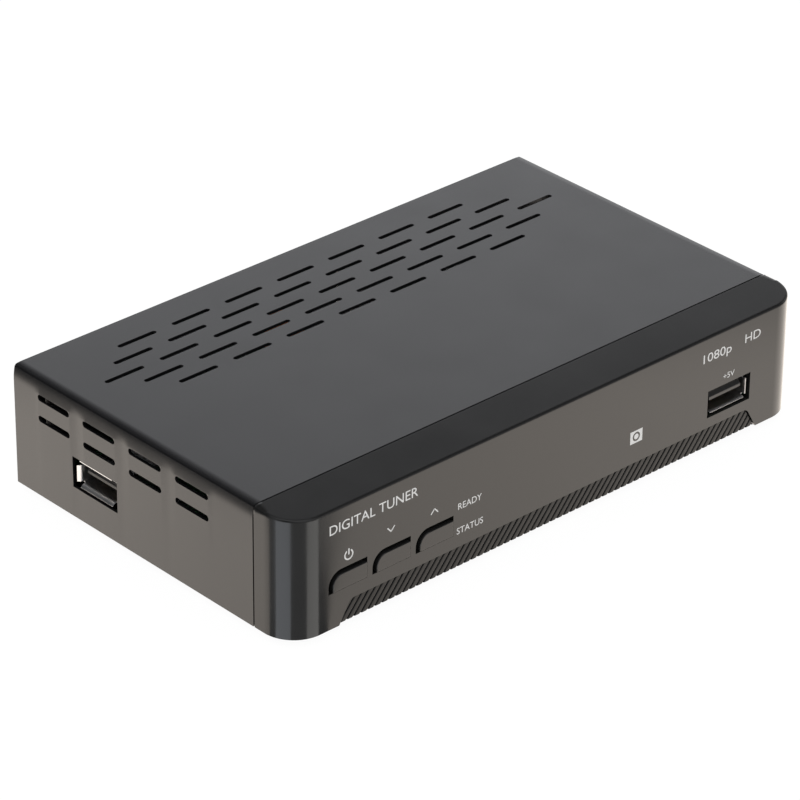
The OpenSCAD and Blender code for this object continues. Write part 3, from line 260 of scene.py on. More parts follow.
def laminate(name):
    """Green solder mask over a net of copper tracks."""
    material = surface(name, (0.012, 0.05, 0.022), (0.018, 0.085, 0.036), 0.3, 0.45, 900, 0.01)
    tree = material.node_tree
    shader = tree.nodes["Principled BSDF"]
    place = tree.nodes.new("ShaderNodeTexCoord")
    tracks = tree.nodes.new("ShaderNodeTexBrick")
    tracks.inputs["Scale"].default_value = 260
    tracks.inputs["Mortar Size"].default_value = 0.05
    tracks.inputs["Color1"].default_value = (1, 1, 1, 1)
    tracks.inputs["Color2"].default_value = (0.8, 0.8, 0.8, 1)
    tracks.inputs["Mortar"].default_value = (1.7, 1.7, 1.3, 1)
    shade = tree.nodes.new("ShaderNodeMix")
    shade.data_type = "RGBA"
    shade.blend_type = "MULTIPLY"
    shade.inputs[0].default_value = 1
    tree.links.new(place.outputs["Object"], tracks.inputs["Vector"])
    tree.links.new(shader.inputs["Base Color"].links[0].from_socket, shade.inputs[mix_first])
    tree.links.new(tracks.outputs["Color"], shade.inputs[mix_second])
    tree.links.new(shade.outputs[mix_result], shader.inputs["Base Color"])
    return material


dress(laminate("board_laminate"), "main_board", "front_board")
dress(surface("standoff_brass", (0.55, 0.38, 0.14), (0.7, 0.5, 0.2), 0.22, 0.4, 1500, 0.01, metal=1),
      "standoffs")
dress(surface("screw_steel", (0.45, 0.45, 0.46), (0.6, 0.6, 0.6), 0.25, 0.4, 1500, 0.01, metal=1),
      "board_screws", "front_board_screws")
dress(surface("chip_epoxy", (0.012, 0.012, 0.013), (0.028, 0.028, 0.028), 0.5, 0.65, 4000, 0.02),
      "processor", "memory_chips", "lan_transformer")
dress(surface("sink_aluminium", (0.5, 0.5, 0.51), (0.66, 0.66, 0.67), 0.3, 0.45, 2200, 0.02, metal=1),
      "heat_sink")
dress(surface("capacitor_can", (0.05, 0.055, 0.09), (0.09, 0.1, 0.15), 0.3, 0.4, 1500, 0.005),
      "capacitors")
dress(surface("coil_ferrite", (0.03, 0.03, 0.03), (0.06, 0.058, 0.055), 0.55, 0.7, 3000, 0.03),
      "coils")
dress(surface("tin_can", (0.62, 0.62, 0.62), (0.78, 0.78, 0.77), 0.18, 0.34, 700, 0.008, metal=1),
      "tuner_can")

# Rear sockets
# Bought-in sockets soldered to the main board: plated shells, black insulators, an orange audio socket
# and two nickel aerial sleeves. They show through the rear panel.
shell_steel = surface("shell_steel", (0.56, 0.56, 0.57), (0.74, 0.74, 0.74),
                      0.2, 0.36, 900, 0.006, metal=1)
connector_black = surface("connector_black", (0.01, 0.01, 0.01), (0.022, 0.022, 0.022),
                          0.28, 0.4, 3500, 0.01)
contact_gold = surface("contact_gold", (0.72, 0.5, 0.2), (0.85, 0.62, 0.28),
                       0.2, 0.32, 1500, 0.004, metal=1)
dress(shell_steel, "hdmi_shell", "lan_shield", "scart_shell")
dress(connector_black, "hdmi_tongue", "lan_insert", "scart_block", "dc_inlet_body", "board_header")
dress(contact_gold, "lan_contacts")
dress(surface("orange_plastic", (0.55, 0.14, 0.015), (0.68, 0.2, 0.03), 0.35, 0.5, 3000, 0.01),
      "spdif_body")
dress(surface("sleeve_nickel", (0.6, 0.58, 0.54), (0.76, 0.74, 0.7), 0.14, 0.28, 1200, 0.004, metal=1),
      "spdif_sleeve", "dc_inlet_pin", "rf_in_sleeve", "rf_out_sleeve")
dress(surface("insulator_white", (0.68, 0.67, 0.63), (0.8, 0.79, 0.76), 0.4, 0.55, 2500, 0.01),
      "rf_in_core", "rf_out_core")

# USB sockets
# Two standard sockets: a shell folded from plated steel, with bent lips at its mouth, round a black tongue
# with four contacts. Both stand on the main board, one behind the bezel and one behind the cover's side.
usb_low, usb_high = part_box("front_usb_shell")
side_low, side_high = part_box("side_usb_shell")
usb_wall, usb_fold, usb_lip = 0.3 * mm, 0.6 * mm, mm
usb_middle = Vector(((usb_low.x + usb_high.x) / 2, usb_low.y, (usb_low.z + usb_high.z) / 2))
window_x, window_y, window_half_w, window_half_l = 3.4 * mm, 6.5 * mm, 0.9 * mm, 2.4 * mm
blade_half, blade_t, blade_rise, holder_l = 5.55 * mm, 1.84 * mm, 2.81 * mm, 4 * mm
# A hair's breadth, to tell edges and faces by their place.
hair = 0.1 * mm


def block(name, low, high):
    """Add a block between two corners."""
    low, high = Vector(low), Vector(high)
    bpy.ops.object.select_all(action="DESELECT")
    bpy.ops.mesh.primitive_cube_add(size=1, location=(low + high) / 2)
    return settle(name, high - low)


def combine(piece, tool, operation):
    """Cut, join or intersect a piece with a tool, which is then removed."""
    apply(piece, "BOOLEAN", operation=operation, object=tool, solver="EXACT")
    bpy.data.objects.remove(tool, do_unlink=True)
    return piece


def merge(pieces):
    """Join several objects into the first."""
    take(pieces[0])
    for piece in pieces[1:]:
        piece.select_set(True)
    bpy.ops.object.join()
    return pieces[0]


def usb_shell(name, *lips):
    """A shell in the front socket's place, with its lips.

    A lip has a direction, how far it opens, the share of that in its outer part, and an extra length."""
    shell = block(name, usb_low + Vector((0, usb_lip, 0)), usb_high)
    pick(shell, "EDGE", lambda middle, along: abs(along.y) > 0.9)
    bpy.ops.mesh.bevel(offset=usb_fold, segments=5)
    close(shell)
    pick(shell, "FACE", lambda middle, facing: facing.y < -0.9)
    bpy.ops.mesh.delete(type="FACE")
    close(shell)
    mouth = usb_middle + Vector((0, usb_lip, 0))
    for out, opening, outer, extra in lips:
        pick(shell, "EDGE", lambda middle, along: (middle - mouth).normalized().dot(out) > 0.999)
        for share, reach in ((1 - outer, 0.6), (outer, 0.4)):
            step = out * share * opening - Vector((0, reach * (usb_lip + extra), 0))
            bpy.ops.mesh.extrude_edges_move(TRANSFORM_OT_translate={"value": step})
        close(shell)
    apply(shell, "SOLIDIFY", thickness=usb_wall, offset=-1, use_even_offset=True)
    windows = []
    for side in (-1, 1):
        x = usb_middle.x + side * window_x
        y = usb_low.y + window_y
        windows.append(block("window", (x - window_half_w, y - window_half_l, usb_low.z - mm),
                             (x + window_half_w, y + window_half_l, usb_high.z + mm)))
    combine(shell, merge(windows), "DIFFERENCE")
    return soften(shell, 0.07 * mm, 3, 40)


def usb_tongue(name, tip, chamfer):
    """A holder in the front socket's place with its blade, whose upper front edge is cut back."""
    low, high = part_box("front_usb_tongue")
    blade_low, blade_front = usb_low.z + blade_rise, usb_low.y + tip
    tongue = block(name, (usb_middle.x - blade_half, blade_front, blade_low),
                   (usb_middle.x + blade_half, high.y - mm, blade_low + blade_t))
    pick(tongue, "EDGE", lambda middle, along: abs(along.x) > 0.9 and middle.y < blade_front + hair
         and middle.z > blade_low + hair)
    bpy.ops.mesh.bevel(offset=chamfer, segments=1)
    close(tongue)
    combine(tongue, block("holder", (low.x, high.y - holder_l, low.z), high), "UNION")
    return soften(tongue, 0.1 * mm, 2, 40)


to_right, to_left = Vector((1, 0, 0)), Vector((-1, 0, 0))
upward, downward = Vector((0, 0, 1)), Vector((0, 0, -1))
front_usb = usb_shell("front_usb_shell_folded",
                      (to_right, 0.12 * mm, 0.7, 0),
                      (downward, 0.3 * mm, 0.9, 0))
fit(front_usb, shell_steel, "shell_steel", "front_usb_shell")
side_usb = usb_shell("side_usb_shell_folded",
                     (to_left, 0.75 * mm, 0.7, 0.3 * mm),
                     (upward, 1.15 * mm, 0, 0.5 * mm),
                     (downward, 0.75 * mm, 0.7, 0.2 * mm))
side_middle = Vector((side_low.x, (side_low.y + side_high.y) / 2, (side_low.z + side_high.z) / 2))
quarter_turn = Matrix.Rotation(-math.pi / 2, 4, "Z")
to_side = Matrix.Translation(side_middle) @ quarter_turn @ Matrix.Translation(-usb_middle)
side_usb.data.transform(to_side)
fit(side_usb, shell_steel, "shell_steel", "side_usb_shell")
front_tongue = usb_tongue("front_usb_tongue_cut", 0.8 * mm, 0.95 * mm)
fit(front_tongue, connector_black, "connector_black", "front_usb_tongue")
side_tongue = usb_tongue("side_usb_tongue_cut", 1.6 * mm, mm)
side_tongue.data.transform(to_side)
fit(side_tongue, connector_black, "connector_black", "side_usb_tongue")
dress(contact_gold, "usb_contacts")

# Rear panel
# A plate of painted steel sheet with the socket cut-outs, turned in at its foot over the tray.
# Its screws come from below, and the cover's rear edge is screwed to its top.
dress(chassis_paint, "rear_panel")

# Front board
# A narrow board behind the bezel, screwed to two posts. It carries three push switches, two lamps
# with their light pipes, and the infrared receiver.
dress(surface("switch_steel", (0.5, 0.5, 0.5), (0.65, 0.65, 0.65), 0.25, 0.4, 1200, 0.006, metal=1),
      "switch_bodies")
dress(surface("plunger_plastic", (0.02, 0.02, 0.02), (0.035, 0.035, 0.035), 0.45, 0.6, 3000, 0.01),
      "power_plunger", "down_plunger", "up_plunger")
dress(surface("lamp_epoxy", (0.5, 0.5, 0.45), (0.65, 0.65, 0.6), 0.2, 0.3, 1500, 0.004),
      "status_lamps")
dress(surface("pipe_acrylic", (0.4, 0.42, 0.42), (0.55, 0.57, 0.57), 0.1, 0.2, 1500, 0.004),
      "light_pipes")
dress(surface("receiver_epoxy", (0.02, 0.008, 0.012), (0.04, 0.016, 0.02), 0.12, 0.25, 1500, 0.004),
      "infrared_receiver")

# Front bezel
# One moulding of black plastic with large round corners and a top that falls gently to the front.
# A lip at the back reaches under the cover; the tray's tongues and two screws hold it from below.
bezel_low, bezel_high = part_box("front_bezel")
front, under = bezel_low.y, bezel_low.z
cover_low, cover_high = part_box("top_cover")
seam_gap = 0.4 * mm
seam = cover_low.y - seam_gap
corner_r, wall, floor_t, fall = 9 * mm, 2.2 * mm, 2.4 * mm, 0.9 * mm
bend, bend_profile, fine_rim = 3.6 * mm, 0.71, 0.25
rim_end = front + corner_r + 0.3 * mm
# Points nearer than this to a cutting plane count as on it.
weld = 0.001 * mm


def score(piece, axis, *places):
    """Cut all faces along planes square to one axis, so that no later hole lies inside one face."""
    pick(piece, "FACE", lambda middle, facing: True)
    for place in places:
        bpy.ops.mesh.select_all(action="SELECT")
        bpy.ops.mesh.bisect(plane_co=Vector(axis) * place, plane_no=axis, threshold=weld)
    return close(piece)


def rim_weight(middle):
    """How round the upper rim is: as the cover's bend at the seam, a fine edge from the corner on."""
    return fine_rim + (1 - fine_rim) * max(0, (middle.y - rim_end) / (seam - rim_end))


bezel = block("bezel_moulding", (bezel_low.x, front, under), (bezel_high.x, seam, bezel_high.z))
pick(bezel, "EDGE", lambda middle, along: abs(along.z) > 0.9 and middle.y < front + hair)
bpy.ops.mesh.bevel(offset=corner_r, segments=28)
bpy.ops.mesh.select_all(action="SELECT")
slope = Vector((0, -fall, seam - front)).normalized()
bpy.ops.mesh.bisect(plane_co=(0, seam, bezel_high.z), plane_no=slope, use_fill=True, clear_outer=True,
                    threshold=weld)
close(bezel)
score(bezel, (0, 1, 0), *(seam - 0.5 * mm * number for number in range(1, 7)))
# Only the outer rim of the top is rounded, and not the scored lines that run across it.
weights = bezel.data.attributes.new("bevel_weight_edge", "FLOAT", "EDGE")
for edge in bezel.data.edges:
    ends = [bezel.data.vertices[i].co for i in edge.vertices]
    middle = (ends[0] + ends[1]) / 2
    upper = all(end.z > bezel_high.z - 1.01 * fall for end in ends)
    across = abs(middle.x) < mm and middle.y > front + mm
    if upper and not across:
        weights.data[edge.index].value = rim_weight(middle)
apply(bezel, "BEVEL", width=bend, segments=12, profile=bend_profile, limit_method="WEIGHT",
      use_clamp_overlap=False)
hollow = block("hollow", (bezel_low.x + wall, front + wall, under + floor_t),
               (bezel_high.x - wall, seam + mm, bezel_high.z - wall - fall))
pick(hollow, "EDGE", lambda middle, along: abs(along.z) > 0.9 and middle.y < front + wall + hair)
bpy.ops.mesh.bevel(offset=corner_r - wall, segments=20)
close(hollow)
combine(bezel, hollow, "DIFFERENCE")
board_low, board_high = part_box("front_board")
post_z = board_high.z - 3.2 * mm
left_post, right_post = board_low.x + 10 * mm, board_high.x - 5 * mm
post_r, bore_r, bore_l = 2.6 * mm, 1.05 * mm, 4 * mm
tongue_x, tongue_y = 50 * mm, front + 5.6 * mm
pilot_r, pilot_l, sink_r, sink_l = 1.6 * mm, 4 * mm, 3.05 * mm, 1.4 * mm
score(bezel, (0, 0, 1), (usb_low.z + usb_high.z) / 2, post_z)
score(bezel, (0, 1, 0), tongue_y)
lip_out, lip_in = mm, 2.4 * mm
lip = block("lip", (bezel_low.x + lip_out, seam - wall, under),
            (bezel_high.x - lip_out, bezel_high.y, bezel_high.z - lip_out))
pick(lip, "EDGE", lambda middle, along: abs(along.y) > 0.9 and middle.z > under + 10 * mm)
bpy.ops.mesh.bevel(offset=0.6 * mm, segments=4)
close(lip)
inside = block("inside", (bezel_low.x + lip_in, seam - 5 * mm, under - mm),
               (bezel_high.x - lip_in, bezel_high.y + mm, bezel_high.z - lip_in))
combine(lip, inside, "DIFFERENCE")
combine(bezel, lip, "UNION")
tray_room = block("tray_room", (bezel_low.x + lip_in, seam - 4 * mm, under - mm),
                  (bezel_high.x - lip_in, bezel_high.y + mm, under + floor_t + hair))
combine(bezel, tray_room, "DIFFERENCE")
strip_half, strip_flare, strip_h, strip_corner = 65.5 * mm, 3.4 * mm, 5.75 * mm, 1.2 * mm
button_x, button_pitch, button_z = 11.6 * mm, 13.5 * mm, 9.55 * mm
button_w, button_h = 11.9 * mm, 5.6 * mm


def strip_blank(name, grow, low, near, far):
    """A bar with the flared outline of the strip's field and round upper corners."""
    half = strip_half + grow
    top = under + strip_h + grow
    piece = block(name, (-half, near, under + low), (half, far, top))
    pick(piece, "FACE", lambda middle, facing: facing.z < -0.9)
    wide = (half + strip_flare * (top - under - low) / (top - under)) / half
    bpy.ops.transform.resize(value=(wide, 1, 1), center_override=(0, 0, 0))
    close(piece)
    pick(piece, "EDGE", lambda middle, along: abs(along.y) > 0.9 and middle.z > top - hair)
    bpy.ops.mesh.bevel(offset=strip_corner, segments=8)
    return close(piece)


def button_blank(name, number, wide_gap, narrow_gap, radius, near, far):
    """A bar with the outline of a button's opening, less its gaps: square but for one large upper corner.

    The wide gap is at the left and above, the narrow one at the right and below."""
    left = bezel_low.x + button_x + button_pitch * number
    low = under + button_z
    piece = block(name, (left + wide_gap, near, low + narrow_gap),
                  (left + button_w - narrow_gap, far, low + button_h - wide_gap))
    pick(piece, "EDGE", lambda middle, along: abs(along.y) > 0.9 and middle.x < left + 2 * mm
         and middle.z > low + 3 * mm)
    bpy.ops.mesh.bevel(offset=radius, segments=14)
    return close(piece)


combine(bezel, strip_blank("strip_pocket", 0.18 * mm, -mm, front - mm, front + wall), "DIFFERENCE")
for number in range(3):
    opening = button_blank("button_opening", number, 0, 0, 4 * mm, front - mm, front + wall + mm)
    combine(bezel, opening, "DIFFERENCE")
usb_gap = 0.9 * mm
usb_opening = block("usb_opening", (usb_low.x - usb_gap, front - mm, usb_low.z - usb_gap),
                    (usb_high.x + usb_gap, front + wall + mm, usb_high.z + usb_gap))
combine(bezel, usb_opening, "DIFFERENCE")
for side in (-1, 1):
    x, y = side * tongue_x, tongue_y
    for radius, height in ((pilot_r, pilot_l), (sink_r, sink_l)):
        drill = rod("screw_hole", radius, (x, y, under - mm), (x, y, under + height))
        combine(bezel, drill, "DIFFERENCE")
for x in (left_post, right_post):
    post = rod("post", post_r, (x, front + wall / 2, post_z), (x, board_low.y, post_z))
    bore = rod("bore", bore_r, (x, board_low.y - bore_l, post_z), (x, board_low.y + mm, post_z), 24)
    combine(post, bore, "DIFFERENCE")
    combine(bezel, post, "UNION")
soften(bezel, 0.12 * mm, 2, 30)
bezel_plastic = surface("bezel_plastic", (0.010, 0.010, 0.010), (0.015, 0.015, 0.015),
                        0.16, 0.22, 6000, 0.003)
fit(bezel, bezel_plastic, "bezel_plastic", "front_bezel")

# Ribbed strip
# A separate bar of black plastic with some sixty slanting ribs, glued into a field along the lower edge
# of the bezel's face.
strip_low, strip_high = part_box("textured_strip")
strip_lift = 0.2 * mm
rib_depth, rib_half, rib_round, rib_reach = 0.45 * mm, 0.72 * mm, 0.32 * mm, 8 * mm
rib_pitch, rib_lean, last_rib = 2.17 * mm, math.radians(50), 33
strip = strip_blank("strip_moulding", 0, strip_lift, strip_low.y + rib_depth, strip_high.y)
rib = block("rib", (-rib_reach, strip_low.y, -rib_half),
            (rib_reach, strip_low.y + rib_depth + 0.2 * mm, rib_half))
pick(rib, "EDGE", lambda middle, along: abs(along.x) > 0.9 and middle.y < strip_low.y + hair)
bpy.ops.mesh.bevel(offset=rib_round, segments=4)
close(rib)
rib.data.transform(Matrix.Rotation(-rib_lean, 4, "Y"))
rib_z = (strip_low.z + strip_high.z) / 2
ribs = []
for number in range(-last_rib, last_rib + 1):
    place = Matrix.Translation((number * rib_pitch, 0, rib_z))
    ribs.append(twin(rib, "rib_%d" % number, place))
bpy.data.objects.remove(rib, do_unlink=True)
ribs = merge(ribs)
combine(ribs, strip_blank("field", 0, strip_lift, strip_low.y - mm, strip_high.y), "INTERSECT")
combine(strip, ribs, "UNION")
smooth(strip, 30)
strip_plastic = surface("strip_plastic", (0.009, 0.009, 0.009), (0.014, 0.014, 0.014),
                        0.26, 0.34, 6000, 0.004, level=0.26)
fit(strip, strip_plastic, "strip_plastic", "textured_strip")

# Buttons
# Three caps of the bezel's plastic, each with one large round corner, a flange behind the bezel's wall
# and a stem onto its switch. They slide half a millimetre inwards.
button_plastic = surface("button_plastic", (0.010, 0.010, 0.010), (0.015, 0.015, 0.015),
                         0.18, 0.24, 6000, 0.003)
flange_y, flange_t, stem_r = front + wall + 0.3 * mm, mm, 1.5 * mm
cap_wide_gap, cap_narrow_gap, cap_corner = 1.1 * mm, 0.3 * mm, 2.9 * mm
for number, name in enumerate(("power", "down", "up")):
    low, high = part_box(name + "_button")
    cap = button_blank(name + "_cap", number, cap_wide_gap, cap_narrow_gap, cap_corner,
                       low.y, flange_y + 0.2 * mm)
    flange = block("flange", (low.x, flange_y, low.z), (high.x, flange_y + flange_t, high.z))
    combine(cap, flange, "UNION")
    middle = (low + high) / 2
    stem = rod("stem", stem_r, (middle.x, flange_y + flange_t / 2, middle.z),
               (middle.x, high.y, middle.z), 32)
    combine(cap, stem, "UNION")
    soften(cap, 0.22 * mm, 3, 40)
    fit(cap, button_plastic, "button_plastic", name + "_button", body=name + "_key")

# Printed marks
# White screen printing on the bezel's face: a power sign, two arrows, plain words and a square sign.
# The rear panel carries a plain word over each socket.
ink_t, line_t, arrow_t = 0.03 * mm, 0.38 * mm, 0.3 * mm
capital_share = 0.69
print_ink = surface("print_ink", (0.74, 0.74, 0.73), (0.86, 0.86, 0.85), 0.45, 0.6, 5000, 0.004)


def ink(piece):
    """Give a mark its ink and let it ride with the case."""
    piece.data.materials.clear()
    piece.data.materials.append(print_ink)
    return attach(piece, "case")


def word(name, letters, height, middle_x, low_z, plane_y, turned=False, width=1.0):
    """A printed word of that letter height on a plane, seen from the front, or from behind if turned."""
    bpy.ops.object.select_all(action="DESELECT")
    bpy.ops.object.text_add()
    piece = bpy.context.active_object
    piece.name = name
    piece.data.body = letters
    piece.data.align_x = "CENTER"
    piece.data.size = height / capital_share
    piece.data.extrude = ink_t
    piece.data.resolution_u = 4
    bpy.ops.object.convert(target="MESH")
    piece = bpy.context.active_object
    piece.data.name = name
    stand = Matrix.Rotation(math.pi / 2, 4, "X") @ Matrix.Diagonal((width, 1, 1, 1))
    if turned:
        stand = Matrix.Rotation(math.pi, 4, "Z") @ stand
    piece.data.transform(Matrix.Translation((middle_x, plane_y, low_z)) @ stand)
    return ink(piece)


def stroke(name, middle, length, thick, turn):
    """One printed stroke on the bezel's face, turned in that face."""
    piece = block(name, (-length / 2, -ink_t, -thick / 2), (length / 2, ink_t, thick / 2))
    place = Matrix.Translation((middle[0], front, middle[1]))
    piece.data.transform(place @ Matrix.Rotation(turn, 4, "Y"))
    return piece


def ring(name, middle, radius, thick):
    """A printed ring on the bezel's face."""
    bpy.ops.object.select_all(action="DESELECT")
    bpy.ops.mesh.primitive_torus_add(major_radius=radius, minor_radius=thick / 2,
                                     major_segments=40, minor_segments=8,
                                     location=(middle[0], front, middle[1]), rotation=(math.pi / 2, 0, 0))
    return settle(name, (1, 1, 2 * ink_t / thick))


sign_x, sign_z = -66.2 * mm, under + 18.0 * mm
power_sign = ring("power_sign", (sign_x, sign_z), 1.2 * mm, line_t)
gap = block("gap", (sign_x - 0.6 * mm, front - mm, sign_z + 0.4 * mm),
            (sign_x + 0.6 * mm, front + mm, sign_z + 3 * mm))
combine(power_sign, gap, "DIFFERENCE")
bar = stroke("bar", (sign_x, sign_z + 0.85 * mm), 1.6 * mm, line_t, math.pi / 2)
ink(merge([power_sign, bar]))
arrow_lean = math.radians(48)
for name, x, z, way in (("down_sign", -53.2 * mm, under + 19.5 * mm, 1),
                        ("up_sign", -39.6 * mm, under + 18.9 * mm, -1)):
    arms = [stroke(name + "_arm", (x + side * 0.55 * mm, z), 1.7 * mm, arrow_t, -side * way * arrow_lean)
            for side in (-1, 1)]
    sign = ink(merge(arms))
    sign.name = sign.data.name = name
eye_x, eye_z, eye_r, dot_r = 26.75 * mm, under + 13.2 * mm, 1.25 * mm, 0.75 * mm
plate_half_w, plate_half_h = 2.05 * mm, 1.7 * mm
plate = block("square_sign", (eye_x - plate_half_w, front - ink_t, eye_z - plate_half_h),
              (eye_x + plate_half_w, front + ink_t, eye_z + plate_half_h))
eye = rod("eye", eye_r, (eye_x, front - mm, eye_z), (eye_x, front + mm, eye_z), 32)
combine(plate, eye, "DIFFERENCE")
dot = rod("dot", dot_r, (eye_x, front - ink_t, eye_z), (eye_x, front + ink_t, eye_z), 32)
ink(merge([plate, dot]))
for name, letters, height, x, z, width in (
        ("word_kind", "DIGITAL TUNER", 2.5, -58.6, 25.2, 1.05),
        ("word_ready", "READY", 1.7, -28.4, 16.1, 1.0),
        ("word_status", "STATUS", 1.7, -28.2, 9.5, 1.0),
        ("word_supply", "+5V", 1.5, 58.5, 17.7, 1.1),
        ("word_lines", "1080p", 2.4, 53.8, 24.7, 1.25),
        ("word_class", "HD", 2.4, 66.5, 25.2, 1.15)):
    word(name, letters, height * mm, x * mm, under + z * mm, front, width=width)
panel_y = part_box("rear_panel")[1].y
rear_letter_h, rear_word_z = 1.6 * mm, 26.2 * mm
for name, letters, node in (
        ("word_aerial_in", "RF IN", "rf_in_sleeve"),
        ("word_aerial_out", "RF OUT", "rf_out_sleeve"),
        ("word_network", "NET", "lan_shield"),
        ("word_picture", "VIDEO", "hdmi_shell"),
        ("word_sound", "AUDIO", "spdif_sleeve"),
        ("word_set", "TV", "scart_shell"),
        ("word_power_in", "12V", "dc_inlet_body")):
    low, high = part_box(node)
    word(name, letters, rear_letter_h, (low.x + high.x) / 2, rear_word_z, panel_y, turned=True)

# Top cover
# One sheet of 0.8 mm steel folded to a top and two sides, with punched vents and a short turned-down rear
# edge; sprayed semi-gloss black. Two screws at the rear hold it.
sheet = 0.8 * mm
rear = cover_high.y
lip_z = cover_high.z - 6 * mm
# Each long bend is three rolls in a row, from the top to the side: radius, degrees and steps.
rolls = ((12 * mm, 8, 8), (0.9 * mm, 70, 14), (16 * mm, 12, 8))


def inward(turned):
    """Direction to the inside, where the left half of the sheet has turned down by this angle."""
    return Vector((math.sin(turned), 0, -math.cos(turned)))


place, turned = Vector((0, 0, cover_high.z)), 0
arcs = []
for radius, degrees, steps in rolls:
    centre = place + radius * inward(turned)
    turned += math.radians(degrees)
    place = centre - radius * inward(turned)
    arcs.append((centre, math.radians(degrees), steps))
flat_end, roll_end = cover_low.x - place.x, place.z
bpy.ops.object.select_all(action="DESELECT")
bpy.ops.mesh.primitive_plane_add(size=1, location=(flat_end / 2, (cover_low.y + rear) / 2, cover_high.z))
cover = settle("cover_sheet", (-flat_end, rear - cover_low.y, 1))
pick(cover, "EDGE", lambda middle, along: middle.x < flat_end + hair)
for centre, angle, steps in arcs:
    bpy.ops.mesh.spin(steps=steps, angle=angle, center=centre + Vector((flat_end, 0, 0)), axis=(0, 1, 0))
bpy.ops.mesh.extrude_edges_move(TRANSFORM_OT_translate={"value": (0, 0, cover_low.z - roll_end)})
close(cover)
apply(cover, "MIRROR", use_axis=(True, False, False), merge_threshold=0.01 * mm)
slot_half, pitch, row_pitch = 5.9 * mm, 16.9 * mm, 5.73 * mm
side_slots = [rear - 15.2 * mm - number * pitch for number in range(4)]
bulge, bulge_reach = 0.13 * mm, 2.2 * mm
score(cover, (0, 1, 0), *(y + shift * slot_half for y in side_slots for shift in (-1.3, -1, 0, 1, 1.3)))
for side in (-1, 1):
    pick(cover, "EDGE", lambda middle, along: abs(along.y) > 0.9 and abs(middle.z - roll_end) < hair
         and side * middle.x > 0 and any(abs(middle.y - y) < slot_half for y in side_slots))
    bpy.ops.transform.translate(value=(side * bulge, 0, 0), use_proportional_edit=True,
                                proportional_edit_falloff="SHARP", proportional_size=bulge_reach,
                                use_proportional_connected=True)
    close(cover)
pick(cover, "EDGE", lambda middle, along: middle.y > rear - hair and abs(along.y) < 0.1)
bpy.ops.mesh.edge_face_add()
close(cover)
pick(cover, "FACE", lambda middle, facing: facing.y > 0.999)
bpy.ops.mesh.bisect(plane_co=(0, 0, lip_z), plane_no=(0, 0, 1))
close(cover)
pick(cover, "FACE", lambda middle, facing: facing.y > 0.999 and middle.z < lip_z)
bpy.ops.mesh.delete(type="FACE")
close(cover)
apply(cover, "SOLIDIFY", thickness=sheet, offset=-1, use_even_offset=True)


def vent(name, z, half, along_y):
    """A punch of that half width for one slot with round ends, lying along X, or along Y for a side."""
    deep = 2 * mm
    if along_y:
        piece = block(name, (-deep, -slot_half, z - half), (deep, slot_half, z + half))
        pick(piece, "EDGE", lambda middle, along: abs(along.x) > 0.9)
    else:
        piece = block(name, (-slot_half, -half, z - deep), (slot_half, half, z + deep))
        pick(piece, "EDGE", lambda middle, along: abs(along.z) > 0.9)
    bpy.ops.mesh.bevel(offset=half * 0.999, segments=7)
    return close(piece)


last_row, first_side_row = rear - 10.1 * mm, cover_high.z - 5 * mm
screw_x, screw_z, screw_hole_r = 62 * mm, cover_high.z - 3 * mm, 1.5 * mm
score(cover, (0, 1, 0), *(last_row - row * row_pitch for row in range(5)))
score(cover, (0, 0, 1), first_side_row, first_side_row - row_pitch, side_middle.z, screw_z)
top_punch = vent("top_punch", cover_high.z, 0.68 * mm, False)
punches = []
# The number of slots in each row of the top, and how far the row lies to the right, in mm.
rows = ((7, -3.4), (8, -0.9), (9, 0.2), (8, -0.9), (7, -3.4))
for row, (count, shift) in enumerate(rows):
    for number in range(count):
        place = (shift * mm + (number - (count - 1) / 2) * pitch, last_row - row * row_pitch, 0)
        punches.append(twin(top_punch, "punch", Matrix.Translation(place)))
side_punch = vent("side_punch", 0, 0.85 * mm, True)
for side in (-1, 1):
    for row in range(2):
        for y in side_slots:
            place = (side * cover_high.x, y, first_side_row - row * row_pitch)
            punches.append(twin(side_punch, "punch", Matrix.Translation(place)))
bpy.data.objects.remove(top_punch, do_unlink=True)
bpy.data.objects.remove(side_punch, do_unlink=True)
side_gap, front_extra, rear_extra = usb_gap + 0.45 * mm, 0.2 * mm, 0.6 * mm
punches.append(block("side_opening",
                     (cover_low.x - mm, side_low.y - side_gap - front_extra, side_low.z - side_gap),
                     (cover_low.x + 2 * mm, side_high.y + side_gap + rear_extra, side_high.z + side_gap)))
for x in (-screw_x, screw_x):
    punches.append(rod("screw_hole", screw_hole_r, (x, rear - 2 * mm, screw_z), (x, rear + mm, screw_z)))
combine(cover, merge(punches), "DIFFERENCE")
soften(cover, 0.12 * mm, 2, 40)
cover_paint = surface("cover_paint", (0.007, 0.007, 0.008), (0.011, 0.011, 0.012),
                      0.2, 0.26, 3000, 0.003, level=0.65)
fit(cover, cover_paint, "cover_paint", "top_cover")

# Outer screws
# Black cross-head machine screws with pan heads: two through the cover's rear edge, four from below.
# One is modelled and the others are copies; those in the cover have slimmer and flatter heads.
head_r, head_h, head_round = 2.75 * mm, 1.2 * mm, 0.75 * mm
cross_half_l, cross_half_w, cross_floor = 1.5 * mm, 0.32 * mm, 0.4 * mm
thread_r, thread_l = 1.35 * mm, 3.5 * mm
screw = rod("screw", head_r, (0, 0, 0), (0, 0, head_h))
pick(screw, "EDGE", lambda middle, along: middle.z > 0.9 * head_h and abs(along.z) < 0.1)
bpy.ops.mesh.bevel(offset=head_round, segments=5)
close(screw)
cross = block("cross", (-cross_half_l, -cross_half_w, cross_floor), (cross_half_l, cross_half_w, 2 * mm))
other = block("other", (-cross_half_w, -cross_half_l, cross_floor), (cross_half_w, cross_half_l, 2 * mm))
combine(cross, other, "UNION")
combine(screw, cross, "DIFFERENCE")
